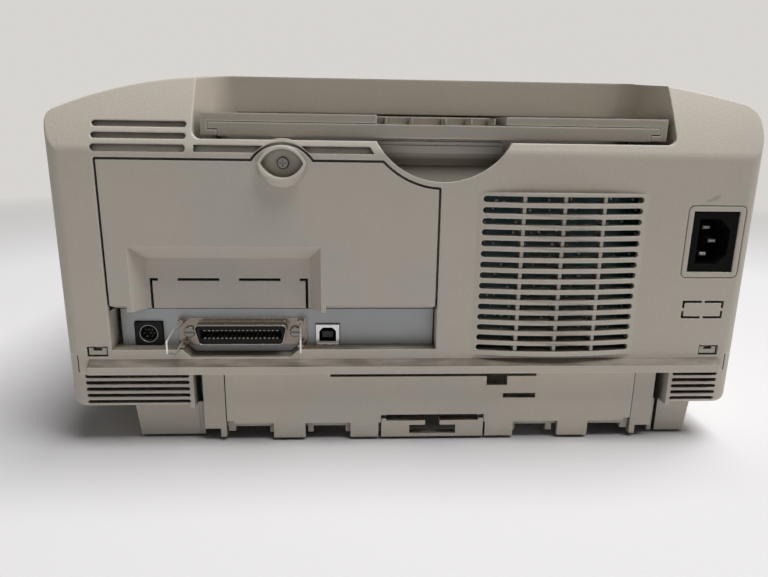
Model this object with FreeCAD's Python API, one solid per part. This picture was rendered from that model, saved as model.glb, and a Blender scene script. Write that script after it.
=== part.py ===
import FreeCAD, Part
import math
import os

V = FreeCAD.Vector
Y_AXIS, Z_AXIS = V(0, 1, 0), V(0, 0, 1)

# A desktop printer in millimetres. +Z is up, the user's front faces -Y, the socket side of the
# rear face is at +X. The origin is the middle of the footprint, on the table.

# Whole body, made to the paper
PAPER_WIDTH = 216.0
PAPER_CENTRE = -13.0
SIDE_ROOM = 134.0
BODY_WIDTH = PAPER_WIDTH + SIDE_ROOM
SIDE = BODY_WIDTH / 2
PAPER_LEFT, PAPER_RIGHT = PAPER_CENTRE + PAPER_WIDTH / 2, PAPER_CENTRE - PAPER_WIDTH / 2
BODY_DEPTH = 374.0
TOP_HEIGHT = 190.5
WALL = 2.5
REAR_CORNER = 8.0
FRONT_CORNER = 16.0
SOFT_EDGE, SHARP_TURN = 1.2, 40.0
CLEARANCE = 0.3
RUN_FIT = 0.05

# Crowned shoulders: drop from the flat top to the side wall, and where each crown reaches the top
LEFT_EDGE_DROP, LEFT_CROWN_X, LEFT_CROWN_BULGE, LEFT_EDGE_ROUND = 16.6, PAPER_LEFT + 3.0, 4.1, 6.0
RIGHT_EDGE_DROP, RIGHT_CROWN_X, RIGHT_CROWN_BULGE, RIGHT_EDGE_ROUND = 10.0, PAPER_RIGHT - 6.0, 0.8, 10.0
# Rear face: upright to this height, then an arc forward, then an easy slope to the flat top
REAR_UPRIGHT, CREASE_ROUND = TOP_HEIGHT - 38.5, 8.0
SLOPE_DEPTH, SLOPE_OVER, SLOPE_BULGE = 24.7, 3.0, 1.4
BRINK_DEPTH, BRINK_HEIGHT, TOP_EASE = 19.5, TOP_HEIGHT - 4.2, 61.5
TOP_SLOPE = (TOP_HEIGHT - BRINK_HEIGHT) / (TOP_EASE - BRINK_DEPTH)
# Front: upright to this height, then a sweep back to the flat top
FRONT_UPRIGHT = 118.0
FRONT_SWEEP = 105.0
FRONT_SWEEP_BULGE = 17.0

# Parting of the two casings, and the ledge along the foot of the rear face
PAD_HEIGHT = 1.5
BASE_FLOOR = 20.5
BASE_EDGE = 5.0
REAR_PARTING = 40.5
SIDE_PARTING = 49.5
CHEEK = 6.5
LEDGE_OUT, LEDGE_FACE_TOP, LEDGE_TOP = 4.0, 44.6, 47.6
LEDGE_LEFT, LEDGE_RIGHT = SIDE - 12.0, -SIDE + 10.5

# Top pocket, its finger notch and the tray in it
POCKET_LEFT, POCKET_RIGHT = PAPER_LEFT + 11.0, PAPER_RIGHT - 8.4
POCKET_DEPTH = 60.0
POCKET_LIP = TOP_HEIGHT - 33.5
POCKET_CORNER, POCKET_FAR_CORNER = 4.0, 10.0
TUB_BOTTOM = POCKET_LIP - 10.0
NOTCH_X, NOTCH_RADIUS, NOTCH_BOTTOM = PAPER_CENTRE - 1.5, 38.0, POCKET_LIP - 19.0
TRAY_GAP = 3.2
TRAY_TOP, TRAY_PLATE = POCKET_LIP + 12.4, 4.0
TRAY_REAR, TRAY_FRONT = 8.0, 55.0
TRAY_END_WALL, TRAY_TOE, TRAY_TOE_HEIGHT = 3.2, 4.5, 2.6
TRAY_CUT_LEFT, TRAY_CUT_RIGHT = PAPER_CENTRE + 31.2, PAPER_CENTRE - 32.6
TRAY_CUT_DEPTH, TRAY_CUT_SLANT = 20.0, 4.0
TRAY_RIB, TRAY_RIB_SETBACK = 0.8, 3.0
TRAY_RIB_PLACES = (26.5, 13.7, -3.0, -15.6, -27.2)
EXTENSION_SHORT = 10.0
TRAY_PIN_RADIUS, TRAY_PIN_SETBACK, TRAY_PIN_DROP = 2.0, 4.0, 4.6
EXTENSION_HEIGHT, EXTENSION_TONGUE = 6.6, 3.2
EXTENSION_SKIN = 2.0
FEED_SLOT_BOTTOM, FEED_SLOT_TOP = POCKET_LIP + 8.0, POCKET_LIP + 14.4
CHUTE_REAR, CHUTE_DEPTH, CHUTE_BOTTOM = 14.5, 40.0, POCKET_LIP - 20.5
CHUTE_BAR_BOTTOM, CHUTE_BAR_TOP = POCKET_LIP - 5.5, POCKET_LIP + 1.2
CHUTE_BAR_LEFT, CHUTE_BAR_RIGHT = PAPER_CENTRE + 30.5, PAPER_CENTRE - 32.3
CHUTE_STEPS = ((3.7, 1.2), (5.7, 0.7))
CHUTE_RAMP_DEPTH, CHUTE_RAMP_TOP, CHUTE_RAMP_HALF = 5.5, POCKET_LIP - 11.0, 35.0

# Vents on the rear left shoulder
VENT_LEFT, VENT_RIGHT, VENT_DEPTH = SIDE - 22.4, POCKET_LEFT + 2.6, 1.7
VENT_HEIGHTS = ((POCKET_LIP + 6.5, 2.8), (POCKET_LIP + 1.1, 2.8), (POCKET_LIP - 4.5, 3.4))
EYE_VENT_TOP, EYE_VENT_BOTTOM, EYE_VENT_LEFT = POCKET_LIP - 2.8, POCKET_LIP - 6.0, VENT_RIGHT - 3.8
EYE_VENT_INNER, EYE_VENT_SLANT, EYE_VENT_END, EYE_VENT_TAPER = 9.0, 4.2, 36.1, 2.0

# Interface cover and its screw
COVER_LEFT, COVER_RIGHT, COVER_TOP, COVER_BOTTOM = SIDE - 24.7, PAPER_CENTRE + 0.8, POCKET_LIP - 10.0, 72.4
COVER_GAP = 1.2
COVER_CURVE_BAND = 3.6
COVER_REST = 3.0
COVER_REST_THICK = 1.5
COVER_FOOT = 3.4
EYE_X, EYE_Z, EYE_HALF_WIDTH, EYE_HALF_HEIGHT = PAPER_CENTRE + 76.4, COVER_TOP - 0.8, 10.2, 6.7
EYE_RIM, EYE_LIP, EYE_STAND, EYE_DEPTH, EYE_FLOOR = 1.3, 4.6, 5.0, 4.6, 2.0
ARCH_HALF_WIDTH, ARCH_RISE = 14.4, 7.8
RECESS_LEFT, RECESS_RIGHT, RECESS_TOP = COVER_LEFT - 10.7, COVER_LEFT - 104.7, 105.6
RECESS_DEPTH, RECESS_BEVEL_SIDE, RECESS_BEVEL_TOP = 8.0, 5.6, 7.0
KNOCK_LEFT, KNOCK_RIGHT, KNOCK_TOP = RECESS_LEFT - 7.0, RECESS_RIGHT + 7.0, 88.2
KNOCK_SLOT, KNOCK_BRIDGE, KNOCK_PITCH = 1.4, 9.8, 30.8
SCREW_RADIUS, SCREW_HEAD_RADIUS, SCREW_HEAD, SCREW_LENGTH = 1.5, 2.9, 1.8, 8.0
SCREW_DRIVE = 0.9

# Interface panel and its sockets
PANEL_DEPTH, PANEL_THICK = 8.5, 1.0
PANEL_LEFT, PANEL_RIGHT, PANEL_TOP = COVER_LEFT - 1.7, COVER_RIGHT - 0.4, 72.0
SHELF_TOP, SHELF_THICK, SHELF_DEPTH = 52.6, 3.0, 12.0
BOARD_DEPTH, BOARD_THICK = 21.0, 1.6
PARALLEL_X, SOCKET_Z = COVER_LEFT - 63.6, 60.0
SHELF_CUT_HALF, SHELF_CUT_FOOT_HALF, SHELF_CUT_DROP = 29.4, 25.2, 4.0
FLANGE_WIDTH, FLANGE_HEIGHT, FLANGE_THICK = 66.0, 14.6, 1.0
DSHELL_WIDTH, DSHELL_HEIGHT, DSHELL_WALL, DSHELL_TAPER, DSHELL_SETBACK = 48.0, 10.8, 0.6, 2.6, 1.0
DSHELL_CORNER = 2.4
CONTACT_COUNT, CONTACT_PITCH, CONTACT_WIDTH, CONTACT_RISE = 18, 2.159, 1.1, 0.6
SLOT_HEIGHT = 4.9
CLIP_PIVOT_DEPTH, CLIP_LENGTH, CLIP_WIRE, CLIP_STUB = 3.0, 24.5, 1.0, 1.6
CLIP_HALF_HEIGHT, CLIP_KNEE_HALF_HEIGHT, CLIP_TIP_HALF_HEIGHT = 4.8, 6.2, 2.8
CLIP_KNEE, CLIP_TIP_RISE = 13.0, 1.5
CLIP_PIVOT_SPREAD = 30.2
CLIP_RIGHT_SWING = -5.0
LUG_SIZE = 3.0
USB_X, USB_Z, USB_WIDTH, USB_HEIGHT, USB_WALL = PARALLEL_X - 43.9, 58.2, 12.2, 11.0, 0.5
USB_STAND, USB_CORNER, USB_LINING, USB_TONGUE_WIDTH, USB_TONGUE_HEIGHT = 1.6, 2.0, 1.2, 5.6, 3.2
SERIAL_X, SERIAL_Z, SERIAL_WIDTH, SERIAL_HEIGHT, SERIAL_RADIUS = PARALLEL_X + 48.1, 58.9, 14.0, 12.4, 4.8
SERIAL_STAND, SERIAL_DEPTH, SERIAL_CORNER = 1.6, 5.0, 1.0
SERIAL_KEY, SERIAL_KEY_RISE, SERIAL_KEY_SETBACK = 2.0, 1.4, 0.8
MAIN_BOARD_TOP, CHIP_SIZE, CHIP_THICK, CHIP_COLUMNS = COVER_TOP - 13.0, 20.0, 3.0, 4

# Grille
GRILLE_LEFT, GRILLE_RIGHT = PAPER_CENTRE - 18.6, -SIDE + 57.8
GRILLE_TOP, GRILLE_BOTTOM, GRILLE_BULGE = NOTCH_BOTTOM - 4.4, 49.8, 4.0
GRILLE_PITCH, GRILLE_SLOT, GRILLE_MARGIN = 5.46, 3.1, 2.6
GRILLE_ROW_TOP, GRILLE_ROWS = GRILLE_TOP - 3.2, int((GRILLE_TOP - GRILLE_BOTTOM) / GRILLE_PITCH)
GRILLE_BARS, GRILLE_BAR, GRILLE_BAR_SETBACK = 3, 1.7, 0.9

# Mains inlet
INLET_X, INLET_Z, INLET_WIDTH, INLET_HEIGHT = -SIDE + 21.7, 109.6, 23.4, 30.6
INLET_SETBACK, INLET_FLANGE, INLET_DEPTH = 0.6, 2.0, 22.0
INLET_WALL, INLET_CHAMFER, INLET_HOLLOW = 3.6, 5.4, 16.0
INLET_PIN_PITCH, INLET_PIN_OFFSET, INLET_PIN_LENGTH = 14.0, 4.0, 12.0
INLET_PIN_WIDTH, INLET_PIN_THICK = 4.0, 2.0
INLET_BORDER, INLET_GROOVE, INLET_GROOVE_DEPTH = 3.2, 0.7, 0.6

# Blank knock-out plate and the clip windows beside the parting
BLANK_LEFT, BLANK_RIGHT, BLANK_TOP, BLANK_BOTTOM = -SIDE + 33.4, -SIDE + 11.4, 78.8, 69.2
BLANK_SLOT, BLANK_BRIDGE = 1.2, 1.6
WINDOW_WIDTH, WINDOW_BOTTOM, WINDOW_TOP = 10.4, 49.0, 54.4
WINDOW_LEFT_X, WINDOW_RIGHT_X = SIDE - 16.4, -SIDE + 16.0
HOOK_GAP, HOOK_THICK, HOOK_ROOT, PARTING_GAP = 0.8, 2.0, 8.0, 0.6

# Base casing, cassette tunnel, rear access door
TUNNEL_HALF = PAPER_WIDTH / 2 + 14.2
TUNNEL_LEFT, TUNNEL_RIGHT = PAPER_CENTRE + TUNNEL_HALF, PAPER_CENTRE - TUNNEL_HALF
DECK_TOP = 47.5
DECK_REAR = 122.0
RUNNER_LEFT, RUNNER_RIGHT, RUNNER_FRONT, RUNNER_REAR = SIDE - 29.8, -SIDE + 17.2, 14.0, 8.0
RUNNER_DRAFT = 2.0
BASE_VENT_TOP, BASE_VENT_PITCH, BASE_VENT, BASE_VENTS = 38.3, 3.5, 1.9, 5
BASE_VENT_LEFT_INNER, BASE_VENT_RIGHT_INNER = TUNNEL_LEFT + 4.5, TUNNEL_RIGHT - 6.3
BASE_VENT_END, VENT_BORDER = 9.0, 1.9
RAIL_BOTTOM, RAIL_THICK, RAIL_REACH = 14.0, 2.0, 4.4
STRIP_INNER, STRIP_OUTER, STRIP_DEPTH, STRIP_FOOT = TUNNEL_HALF - 12.4, TUNNEL_HALF - 1.2, 3.0, 7.0
DOOR_HALF, DOOR_FACE, DOOR_THICK, DOOR_TOP, DOOR_EDGE = STRIP_INNER - 0.6, 2.5, 2.5, 39.6, 10.0
DOOR_TABS = ((71.7, 54.9), (30.8, 15.8), (-42.2, -57.5), (-82.2, -98.8))
DOOR_TAB_FOOT = 1.7
DOOR_LIP_FOOT, DOOR_LIP_THICK = 7.4, 2.0
DOOR_STUDS = ((73.9, 70.7), (53.7, 50.8), (33.4, 29.8), (-56.5, -59.2), (-76.6, -79.6))
DOOR_STUD_FOOT = 3.8
DOOR_AXIS_DEPTH, DOOR_AXIS_Z, DOOR_PIN_RADIUS, DOOR_PIN_LENGTH = 7.0, 8.5, 1.8, 3.6
DOOR_BOSS, DOOR_CORNER = 3.8, 1.6
DOOR_SLOT_LEFT, DOOR_SLOT_RIGHT, DOOR_SLOT = 41.4, -68.4, 3.2
DOOR_NOTCH = (-41.7, -53.0, 31.4)
DOOR_WINDOW = (-50.9, -68.7, 24.0, 26.6)
DOOR_LUG_THICK, DOOR_LUG_TOP, DOOR_LUG_FOOT, DOOR_WEB_DEPTH = 3.0, 14.0, 2.2, 14.0
DOOR_RIBS, DOOR_RIB, DOOR_RIB_DEPTH, TURN_GAP = 8, 1.6, 8.0, 4.0
LATCH_LEFT, LATCH_RIGHT, LATCH_TOP, LATCH_FOOT = 14.2, -41.0, 12.2, 1.6
LATCH_TRAVEL, LATCH_THICK, LATCH_KEEP = 2.0, 4.4, 2.2
LATCH_POST, LATCH_STEP = 2.6, 1.2
LATCH_BAR = (-1.0, -26.0, 3.4, 8.4)
LATCH_STEM = (-9.5, -17.5)

# Paper cassette
CASSETTE_HALF, CASSETTE_LENGTH, CASSETTE_FOOT, CASSETTE_TOP = PAPER_WIDTH / 2 + 7.6, 322.0, 3.0, 40.0
CASSETTE_WALL, CASSETTE_FLANGE = 2.2, 2.0
CASSETTE_FRONT_TOP, CASSETTE_FRONT_THICK, CASSETTE_FRONT_GAP = 44.0, 3.0, 0.8
GRIP_HALF, GRIP_BOTTOM, GRIP_TOP, GRIP_DEPTH = 45.0, 14.0, 30.0, 16.0
LIFT_LENGTH, LIFT_THICK, LIFT_HEIGHT, LIFT_MARGIN = 160.0, 1.2, 3.4, 4.0
LIFT_PIN_RADIUS = 1.6
GUIDE_THICK, GUIDE_LENGTH, GUIDE_TOP, GUIDE_FOOT_WIDTH = 2.4, 70.0, 36.0, 18.0
GUIDE_SET, GUIDE_PLACE = 2.6, 60.0

# Top cover and output flap
LID_LEFT, LID_RIGHT, LID_GAP, LID_REAR_GAP = POCKET_LEFT - 2.5, POCKET_RIGHT + 2.5, 0.8, 2.0
LID_FRONT_EDGE = 100.0
LID_FRAME = 12.0
LID_FLANGE, LID_FLANGE_SETBACK = 2.0, 2.0
LID_AXIS_SETBACK, LID_AXIS_DROP, LID_PIN_RADIUS = 8.0, 5.0, 1.6
FLAP_BOTTOM, OPENING_BOTTOM, FLAP_GAP = 54.5, 52.8, 0.8
FLAP_AXIS_DEPTH, FLAP_AXIS_Z, FLAP_PIN_RADIUS, FLAP_EAR = 3.5, 59.0, 1.6, 2.8
FLAP_RIBS, FLAP_RIB, FLAP_RIB_HEIGHT = 6, 1.4, 2.0
FLAP_GRIP_HALF, FLAP_GRIP_DROP = 18.0, 5.0

# Control panel on the front of the socket-side shoulder
CONTROL_LEFT, CONTROL_RIGHT, CONTROL_TOP, CONTROL_BOTTOM = SIDE - 21.0, SIDE - 63.0, 108.0, 62.0
CONTROL_RIM, CONTROL_RIM_THICK, CONTROL_CORNER = 3.0, 1.5, 4.0
BUTTON_RADIUS, BUTTON_STAND, BUTTON_TRAVEL, BUTTON_FLANGE, BUTTON_EDGE = 5.0, 1.8, 1.0, 1.2, 0.6
BUTTON_X, BUTTON_HEIGHTS = CONTROL_RIGHT + 13.0, (98.0, 85.0, 72.0)
LENS_RADIUS, LENS_X, LENS_STAND = 1.5, CONTROL_LEFT - 11.0, 0.4
CONTROL_BOARD_THICK, CONTROL_BOARD_GAP, SWITCH_SIZE = 1.6, 9.0, 6.0
CONTROL_SETBACK, CONTROL_POST = 2.0, 2.0

# Rubber feet
PAD_LENGTH, PAD_WIDTH, PAD_INSET = 24.0, 12.0, 10.0

# Power supply
POWER_DEPTH, POWER_LEFT, POWER_RIGHT = 14.0, GRILLE_LEFT + 8.6, GRILLE_RIGHT - 7.8
POWER_BOTTOM, POWER_TOP = GRILLE_BOTTOM + 3.2, GRILLE_TOP + 1.4
TRANSFORMER_WIDTH, TRANSFORMER_HEIGHT, TRANSFORMER_DEPTH, WINDING_OVER = 38.0, 34.0, 26.0, 3.0
CAPACITOR_RADIUS, CAPACITOR_LENGTH, CAPACITOR_COUNT = 7.0, 22.0, 4
POST_RADIUS = 3.0

# Print mechanism
PLATE_THICK = 1.2
CHASSIS_LEFT, CHASSIS_RIGHT = SIDE - 7.0, -SIDE + 17.0
CHASSIS_FRONT, CHASSIS_REAR, CHASSIS_TOP = -100.0, 84.0, 132.0
ROD_Y, ROD_Z, ROD_RADIUS = 48.0, 100.0, 4.0
RAIL_Y, RAIL_Z, RAIL_HEIGHT, RAIL_BAR = -46.0, 116.0, 10.0, 2.0
CARRIAGE_HALF, CARRIAGE_PARK = 31.0, SIDE - 51.0
CARRIAGE_FLOOR, CARRIAGE_TOP, CARRIAGE_FRONT, CARRIAGE_BACK = 77.5, 128.0, -34.0, 30.0
CARRIAGE_WALL, CARRIAGE_BOSS, CARRIAGE_BOSS_BOTTOM = 2.4, 8.0, 92.0
CARTRIDGE_GAP, CARTRIDGE_TOP = 0.6, 136.0
NOZZLE_DROP, NOZZLE_HALF, NOZZLE_SET, NOZZLE_LENGTH = 1.6, 8.0, 12.0, 22.0
CLAMP_HALF, CLAMP_JAW = 8.0, 3.6
BELT_Y, BELT_Z, BELT_RADIUS, BELT_WIDTH, BELT_THICK = 68.0, 112.0, 6.4, 6.0, 1.0
PULLEY_FLANGE, PULLEY_FLANGE_THICK = 2.0, 1.0
DRIVE_X, IDLER_X = CHASSIS_RIGHT + 18.0, CHASSIS_LEFT - 18.0
MOTOR_RADIUS, MOTOR_LENGTH, MOTOR_SHAFT, MOTOR_EDGE, SHAFT_DEPTH = 15.0, 28.0, 1.5, 2.0, 10.0
MOTOR_WALL, MOTOR_WALL_BOTTOM, STUB_RADIUS, SEAT_FIT = 76.0, 90.0, 2.0, 0.02
FEED_Y, FEED_Z, FEED_RADIUS, JOURNAL_RADIUS = 38.0, 68.0, 6.0, 3.0
EXIT_Y, EXIT_Z, EXIT_RADIUS, EXIT_TYRE = -52.0, 70.0, 3.0, 4.0
TYRE_COUNT, TYRE_WIDTH, ROLLER_OVER = 5, 12.0, 6.0
PINCH_RADIUS, PINCH_AXLE, PINCH_COUNT, PINCH_WIDTH = 3.5, 1.5, 4, 24.0
PLATEN_TOP, PLATEN_FRONT, PLATEN_BACK, PLATEN_HALF = 73.6, -40.0, 28.0, PAPER_WIDTH / 2 + 2.0
PLATEN_RIBS, PLATEN_RIB, PLATEN_RIB_HEIGHT = 9, 1.6, 1.0
TOOTH_PITCH, BACKLASH, GEAR_WIDTH, GEAR_GAP = 2.51327, 0.3, 6.0, 1.6
MODULE = TOOTH_PITCH / math.pi
TIP_HEIGHT, ROOT_DEPTH, PRESSURE_ANGLE = 0.9, 1.25, math.radians(20)
FEED_TEETH, IDLER_TEETH, EXIT_TEETH, PINION_TEETH = 60, 64, 40, 14
PINION_ANGLE = 10.0
PICKUP_Y, PICKUP_Z, PICKUP_RADIUS, PICKUP_HALF, PICKUP_SHAFT = 104.0, 52.0, 10.0, 20.0, 3.0
PICKUP_WINDOW, BRACKET_THICK = 3.0, 2.0
TURN_Y, TURN_Z, TURN_RADIUS, TURN_DEPTH = 146.0, 27.0, 13.0, 16.0
SHEET_GUIDE = ((136.0, 50.0), (116.0, 67.0), (46.0, 72.0))
SHEET_GUIDE_THICK = 1.6
CAP_WIDTH, CAP_DEPTH, CAP_HEIGHT, CAP_CUP, CAP_GAP = 52.0, 40.0, 21.0, 20.0, 0.5
CHASSIS_SCREW_X = (TUNNEL_RIGHT + 4.2, TUNNEL_LEFT - 4.2)
CHASSIS_SCREW_Y, CHASSIS_SCREW_LENGTH = (-85.0, 60.0), 5.0

# Places that follow from the sizes above
CLIP_REACH = CLIP_LENGTH + CLIP_WIRE / 2 - CLIP_PIVOT_DEPTH
FRONT = -(BODY_DEPTH + CLIP_REACH) / 2
REAR = FRONT + BODY_DEPTH
SPARE = 20.0


def inside(depth):
    """Y of the plane that lies this deep inside the rear face."""
    return REAR - depth


def block(x0, x1, y0, y1, z0, z1):
    """A box between two corners, given in any order."""
    low = V(min(x0, x1), min(y0, y1), min(z0, z1))
    return Part.makeBox(abs(x1 - x0), abs(y1 - y0), abs(z1 - z0), low)


def edges_along(solid, direction):
    return [e for e in solid.Edges if abs(e.tangentAt(e.FirstParameter).dot(direction)) > 0.999]


def round_block(x0, x1, y0, y1, z0, z1, radius, direction):
    """A box whose four edges along one direction are rounded."""
    solid = block(x0, x1, y0, y1, z0, z1)
    return solid.makeFillet(radius, edges_along(solid, direction))


def slot(x0, x1, y0, y1, z_mid, height):
    """A level slot with round ends, as a solid to cut."""
    return round_block(x0, x1, y0, y1, z_mid - height / 2, z_mid + height / 2, height * 0.49, Y_AXIS)


def bar(radius, start, end):
    return Part.makeCylinder(radius, (end - start).Length, start, end - start)


def bar_x(radius, x0, x1, y, z):
    """A round bar that lies along X."""
    return bar(radius, V(min(x0, x1), y, z), V(max(x0, x1), y, z))


def bar_y(radius, x, y0, y1, z):
    """A round bar that lies along Y."""
    return bar(radius, V(x, min(y0, y1), z), V(x, max(y0, y1), z))


def join(shapes):
    return shapes[0].fuse(shapes[1:]).removeSplitter()


def less(shape, cutters):
    return shape.cut(cutters)


def line(a, b):
    return Part.LineSegment(a, b).toShape()


def arc(a, middle, b):
    return Part.Arc(a, middle, b).toShape()


def face(edges):
    return Part.Face(Part.Wire(Part.sortEdges(edges)[0]))


def polygon(points):
    return Part.Face(Part.makePolygon(list(points) + [points[0]]))


def prism_y(points, y0, y1):
    """Points in X and Z, drawn out along Y."""
    return polygon([V(x, min(y0, y1), z) for x, z in points]).extrude(V(0, abs(y1 - y0), 0))


def prism_x(points, x0, x1):
    """Points in Y and Z, drawn out along X."""
    return polygon([V(min(x0, x1), y, z) for y, z in points]).extrude(V(abs(x1 - x0), 0, 0))


def prism_z(points, z0, z1):
    """Points in X and Y, drawn out along Z."""
    return polygon([V(x, y, min(z0, z1)) for x, y in points]).extrude(V(0, 0, abs(z1 - z0)))


def spread(first, last, count):
    """Evenly spaced places from first to last."""
    return [first + (last - first) * i / (count - 1) for i in range(count)]


# Outer form of the body, which the casing and the top cover share

def body_plan(inset, bottom, top):
    """The body seen from above, as an upright prism with rounded corners."""
    solid = block(-SIDE + inset, SIDE - inset, FRONT + inset, REAR - inset, bottom, top)
    rear = [e for e in edges_along(solid, Z_AXIS) if e.CenterOfMass.y > 0]
    solid = solid.makeFillet(max(REAR_CORNER - inset, WALL), rear)
    front = [e for e in edges_along(solid, Z_AXIS)
             if e.CenterOfMass.y < FRONT + inset + 0.01 and abs(e.CenterOfMass.x) > SIDE - inset - 0.01]
    return solid.makeFillet(max(FRONT_CORNER - inset, WALL), front)


def bulged(a, b, bulge):
    """An arc from a to b whose middle stands off the chord on its upper side."""
    chord = b - a
    normal = V(-chord.z, 0, chord.x) if chord.y == 0 else V(0, -chord.z, chord.y)
    normal.normalize()
    if normal.z < 0:
        normal = normal * -1
    return arc(a, (a + b) * 0.5 + normal * bulge, b)


def crown_face(inset):
    """The body seen from the rear, at the brink: flat top, crowned shoulders, upright sides."""
    y, foot, top = FRONT - SPARE, -BODY_DEPTH, BRINK_HEIGHT - inset
    low_left, low_right = V(SIDE - inset, y, foot), V(-SIDE + inset, y, foot)
    left, right = V(SIDE - inset, y, top - LEFT_EDGE_DROP), V(-SIDE + inset, y, top - RIGHT_EDGE_DROP)
    left_top, right_top = V(LEFT_CROWN_X, y, top), V(RIGHT_CROWN_X, y, top)
    return face([line(low_right, low_left), line(low_left, left), bulged(left, left_top, LEFT_CROWN_BULGE),
                 line(left_top, right_top), bulged(right_top, right, RIGHT_CROWN_BULGE),
                 line(right, low_right)])


def crown_prism(inset, lift, slope):
    """The crowned outline, lifted and drawn out to the rear with a fall, its two long edges rounded."""
    length = BODY_DEPTH + 2 * SPARE
    way = V(0, length, -slope * length)
    outline = crown_face(inset)
    outline.translate(V(0, 0, lift))
    solid = outline.extrude(way)
    for sign, radius in ((1, LEFT_EDGE_ROUND - inset), (-1, RIGHT_EDGE_ROUND - inset)):
        brow = [e for e in edges_along(solid, way.normalize())
                if sign * e.CenterOfMass.x > SIDE - inset - 0.01 and e.CenterOfMass.z > 0]
        if radius > SOFT_EDGE / 4:
            solid = solid.makeFillet(radius, brow)
    return solid


def body_crown(inset):
    """The crowned top: level over the front, and falling to the brink over the rear."""
    run = inside(BRINK_DEPTH) - FRONT + SPARE
    return crown_prism(inset, TOP_HEIGHT - BRINK_HEIGHT, 0).common(
        crown_prism(inset, TOP_SLOPE * run, TOP_SLOPE))


def mitred(before, corner, after, inset):
    """Where a corner of the side view lies when the outline is drawn this far inside."""
    normals = []
    for a, b in ((before, corner), (corner, after)):
        way = (b - a).normalize()
        normals.append(V(0, -way.z, way.y))
    return corner + (normals[0] + normals[1]) * (inset / (1 + normals[0].dot(normals[1])))


def body_profile(inset):
    """The body seen from the side: upright rear, sloping shoulder that runs past the top, swept front."""
    x = -SIDE - SPARE
    outer = [V(x, REAR, 0), V(x, REAR, REAR_UPRIGHT), V(x, inside(SLOPE_DEPTH), TOP_HEIGHT + SLOPE_OVER),
             V(x, FRONT + FRONT_SWEEP, TOP_HEIGHT)]
    crease, peak = mitred(*outer[:3], inset), mitred(*outer[1:], inset)
    sweep = V(x, FRONT + FRONT_SWEEP, TOP_HEIGHT - inset)
    brow = V(x, FRONT + inset, FRONT_UPRIGHT)
    low_front, low_rear = V(x, FRONT + inset, 0), V(x, REAR - inset, 0)
    outline = [line(low_rear, crease), bulged(crease, peak, SLOPE_BULGE), line(peak, sweep),
               bulged(sweep, brow, FRONT_SWEEP_BULGE), line(brow, low_front), line(low_front, low_rear)]
    solid = face(outline).extrude(V(BODY_WIDTH + 2 * SPARE, 0, 0))
    if inset < CREASE_ROUND:
        fold = [e for e in solid.Edges if (e.CenterOfMass - V(0, crease.y, crease.z)).Length < 1]
        solid = solid.makeFillet(CREASE_ROUND - inset, fold)
    return solid


def body_form(inset):
    plan = body_plan(inset, 0, TOP_HEIGHT + SPARE)
    return plan.common(body_crown(inset)).common(body_profile(inset))


def soft_body():
    """The outer form with the sharp edges of its rear shoulder eased."""
    solid = body_form(0)
    sharp = []
    for edge in solid.Edges:
        faces = solid.ancestorsOfType(edge, Part.Face)
        if edge.BoundBox.ZMax < REAR_UPRIGHT or edge.CenterOfMass.y < 0 or len(faces) != 2:
            continue
        middle = edge.valueAt((edge.FirstParameter + edge.LastParameter) / 2)
        normals = [f.normalAt(*f.Surface.parameter(middle)) for f in faces]
        if math.degrees(normals[0].getAngle(normals[1])) > SHARP_TURN:
            sharp.append(edge)
    return solid.makeFillet(SOFT_EDGE, sharp)


# Upper casing

def cover_outline(grow):
    """The interface cover's outline on the rear face, grown by a margin."""
    corner = [V(COVER_LEFT, REAR, COVER_TOP), V(COVER_LEFT, REAR, COVER_BOTTOM),
              V(COVER_RIGHT, REAR, COVER_BOTTOM)]
    centre = V(NOTCH_X, REAR, NOTCH_BOTTOM + NOTCH_RADIUS)
    radius = NOTCH_RADIUS + COVER_CURVE_BAND
    drop = centre.z - COVER_TOP
    start = V(centre.x + math.sqrt(radius ** 2 - drop ** 2), REAR, COVER_TOP)
    across = COVER_RIGHT - centre.x
    end = V(COVER_RIGHT, REAR, centre.z - math.sqrt(radius ** 2 - across ** 2))
    half = (start + end) * 0.5 - centre
    middle = centre + half * (radius / half.Length)
    arch = [V(EYE_X + ARCH_HALF_WIDTH, REAR, COVER_TOP), V(EYE_X, REAR, COVER_TOP + ARCH_RISE),
            V(EYE_X - ARCH_HALF_WIDTH, REAR, COVER_TOP)]
    wire = Part.Wire([line(corner[2], corner[1]), line(corner[1], corner[0]), line(corner[0], arch[0]),
                      arc(*arch),
                      line(arch[2], start), arc(start, middle, end), line(end, corner[2])])
    if grow:
        wire = wire.makeOffset2D(grow)
    return Part.Face(wire)


def cover_prism(grow, depth0, depth1):
    outline = cover_outline(grow)
    outline.translate(V(0, -max(depth0, depth1), 0))
    return outline.extrude(V(0, abs(depth1 - depth0), 0))


def pocket_void():
    """The top pocket, with rounded bottom and far corners."""
    size = (POCKET_LEFT, POCKET_RIGHT, inside(POCKET_DEPTH), REAR + SPARE, POCKET_LIP, TOP_HEIGHT + SPARE)
    return round_block(*size, POCKET_CORNER, Y_AXIS).common(round_block(*size, POCKET_FAR_CORNER, Z_AXIS))


def pocket_tub(form):
    """The walls that line the pocket on three sides."""
    lining = block(POCKET_LEFT + WALL, POCKET_RIGHT - WALL, inside(POCKET_DEPTH + WALL), inside(WALL),
                   TUB_BOTTOM, TOP_HEIGHT + SPARE)
    below = block(POCKET_LEFT, POCKET_RIGHT, inside(POCKET_DEPTH), inside(WALL), TUB_BOTTOM - 1,
                  POCKET_LIP + POCKET_CORNER)
    return lining.cut(below).common(form)


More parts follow.
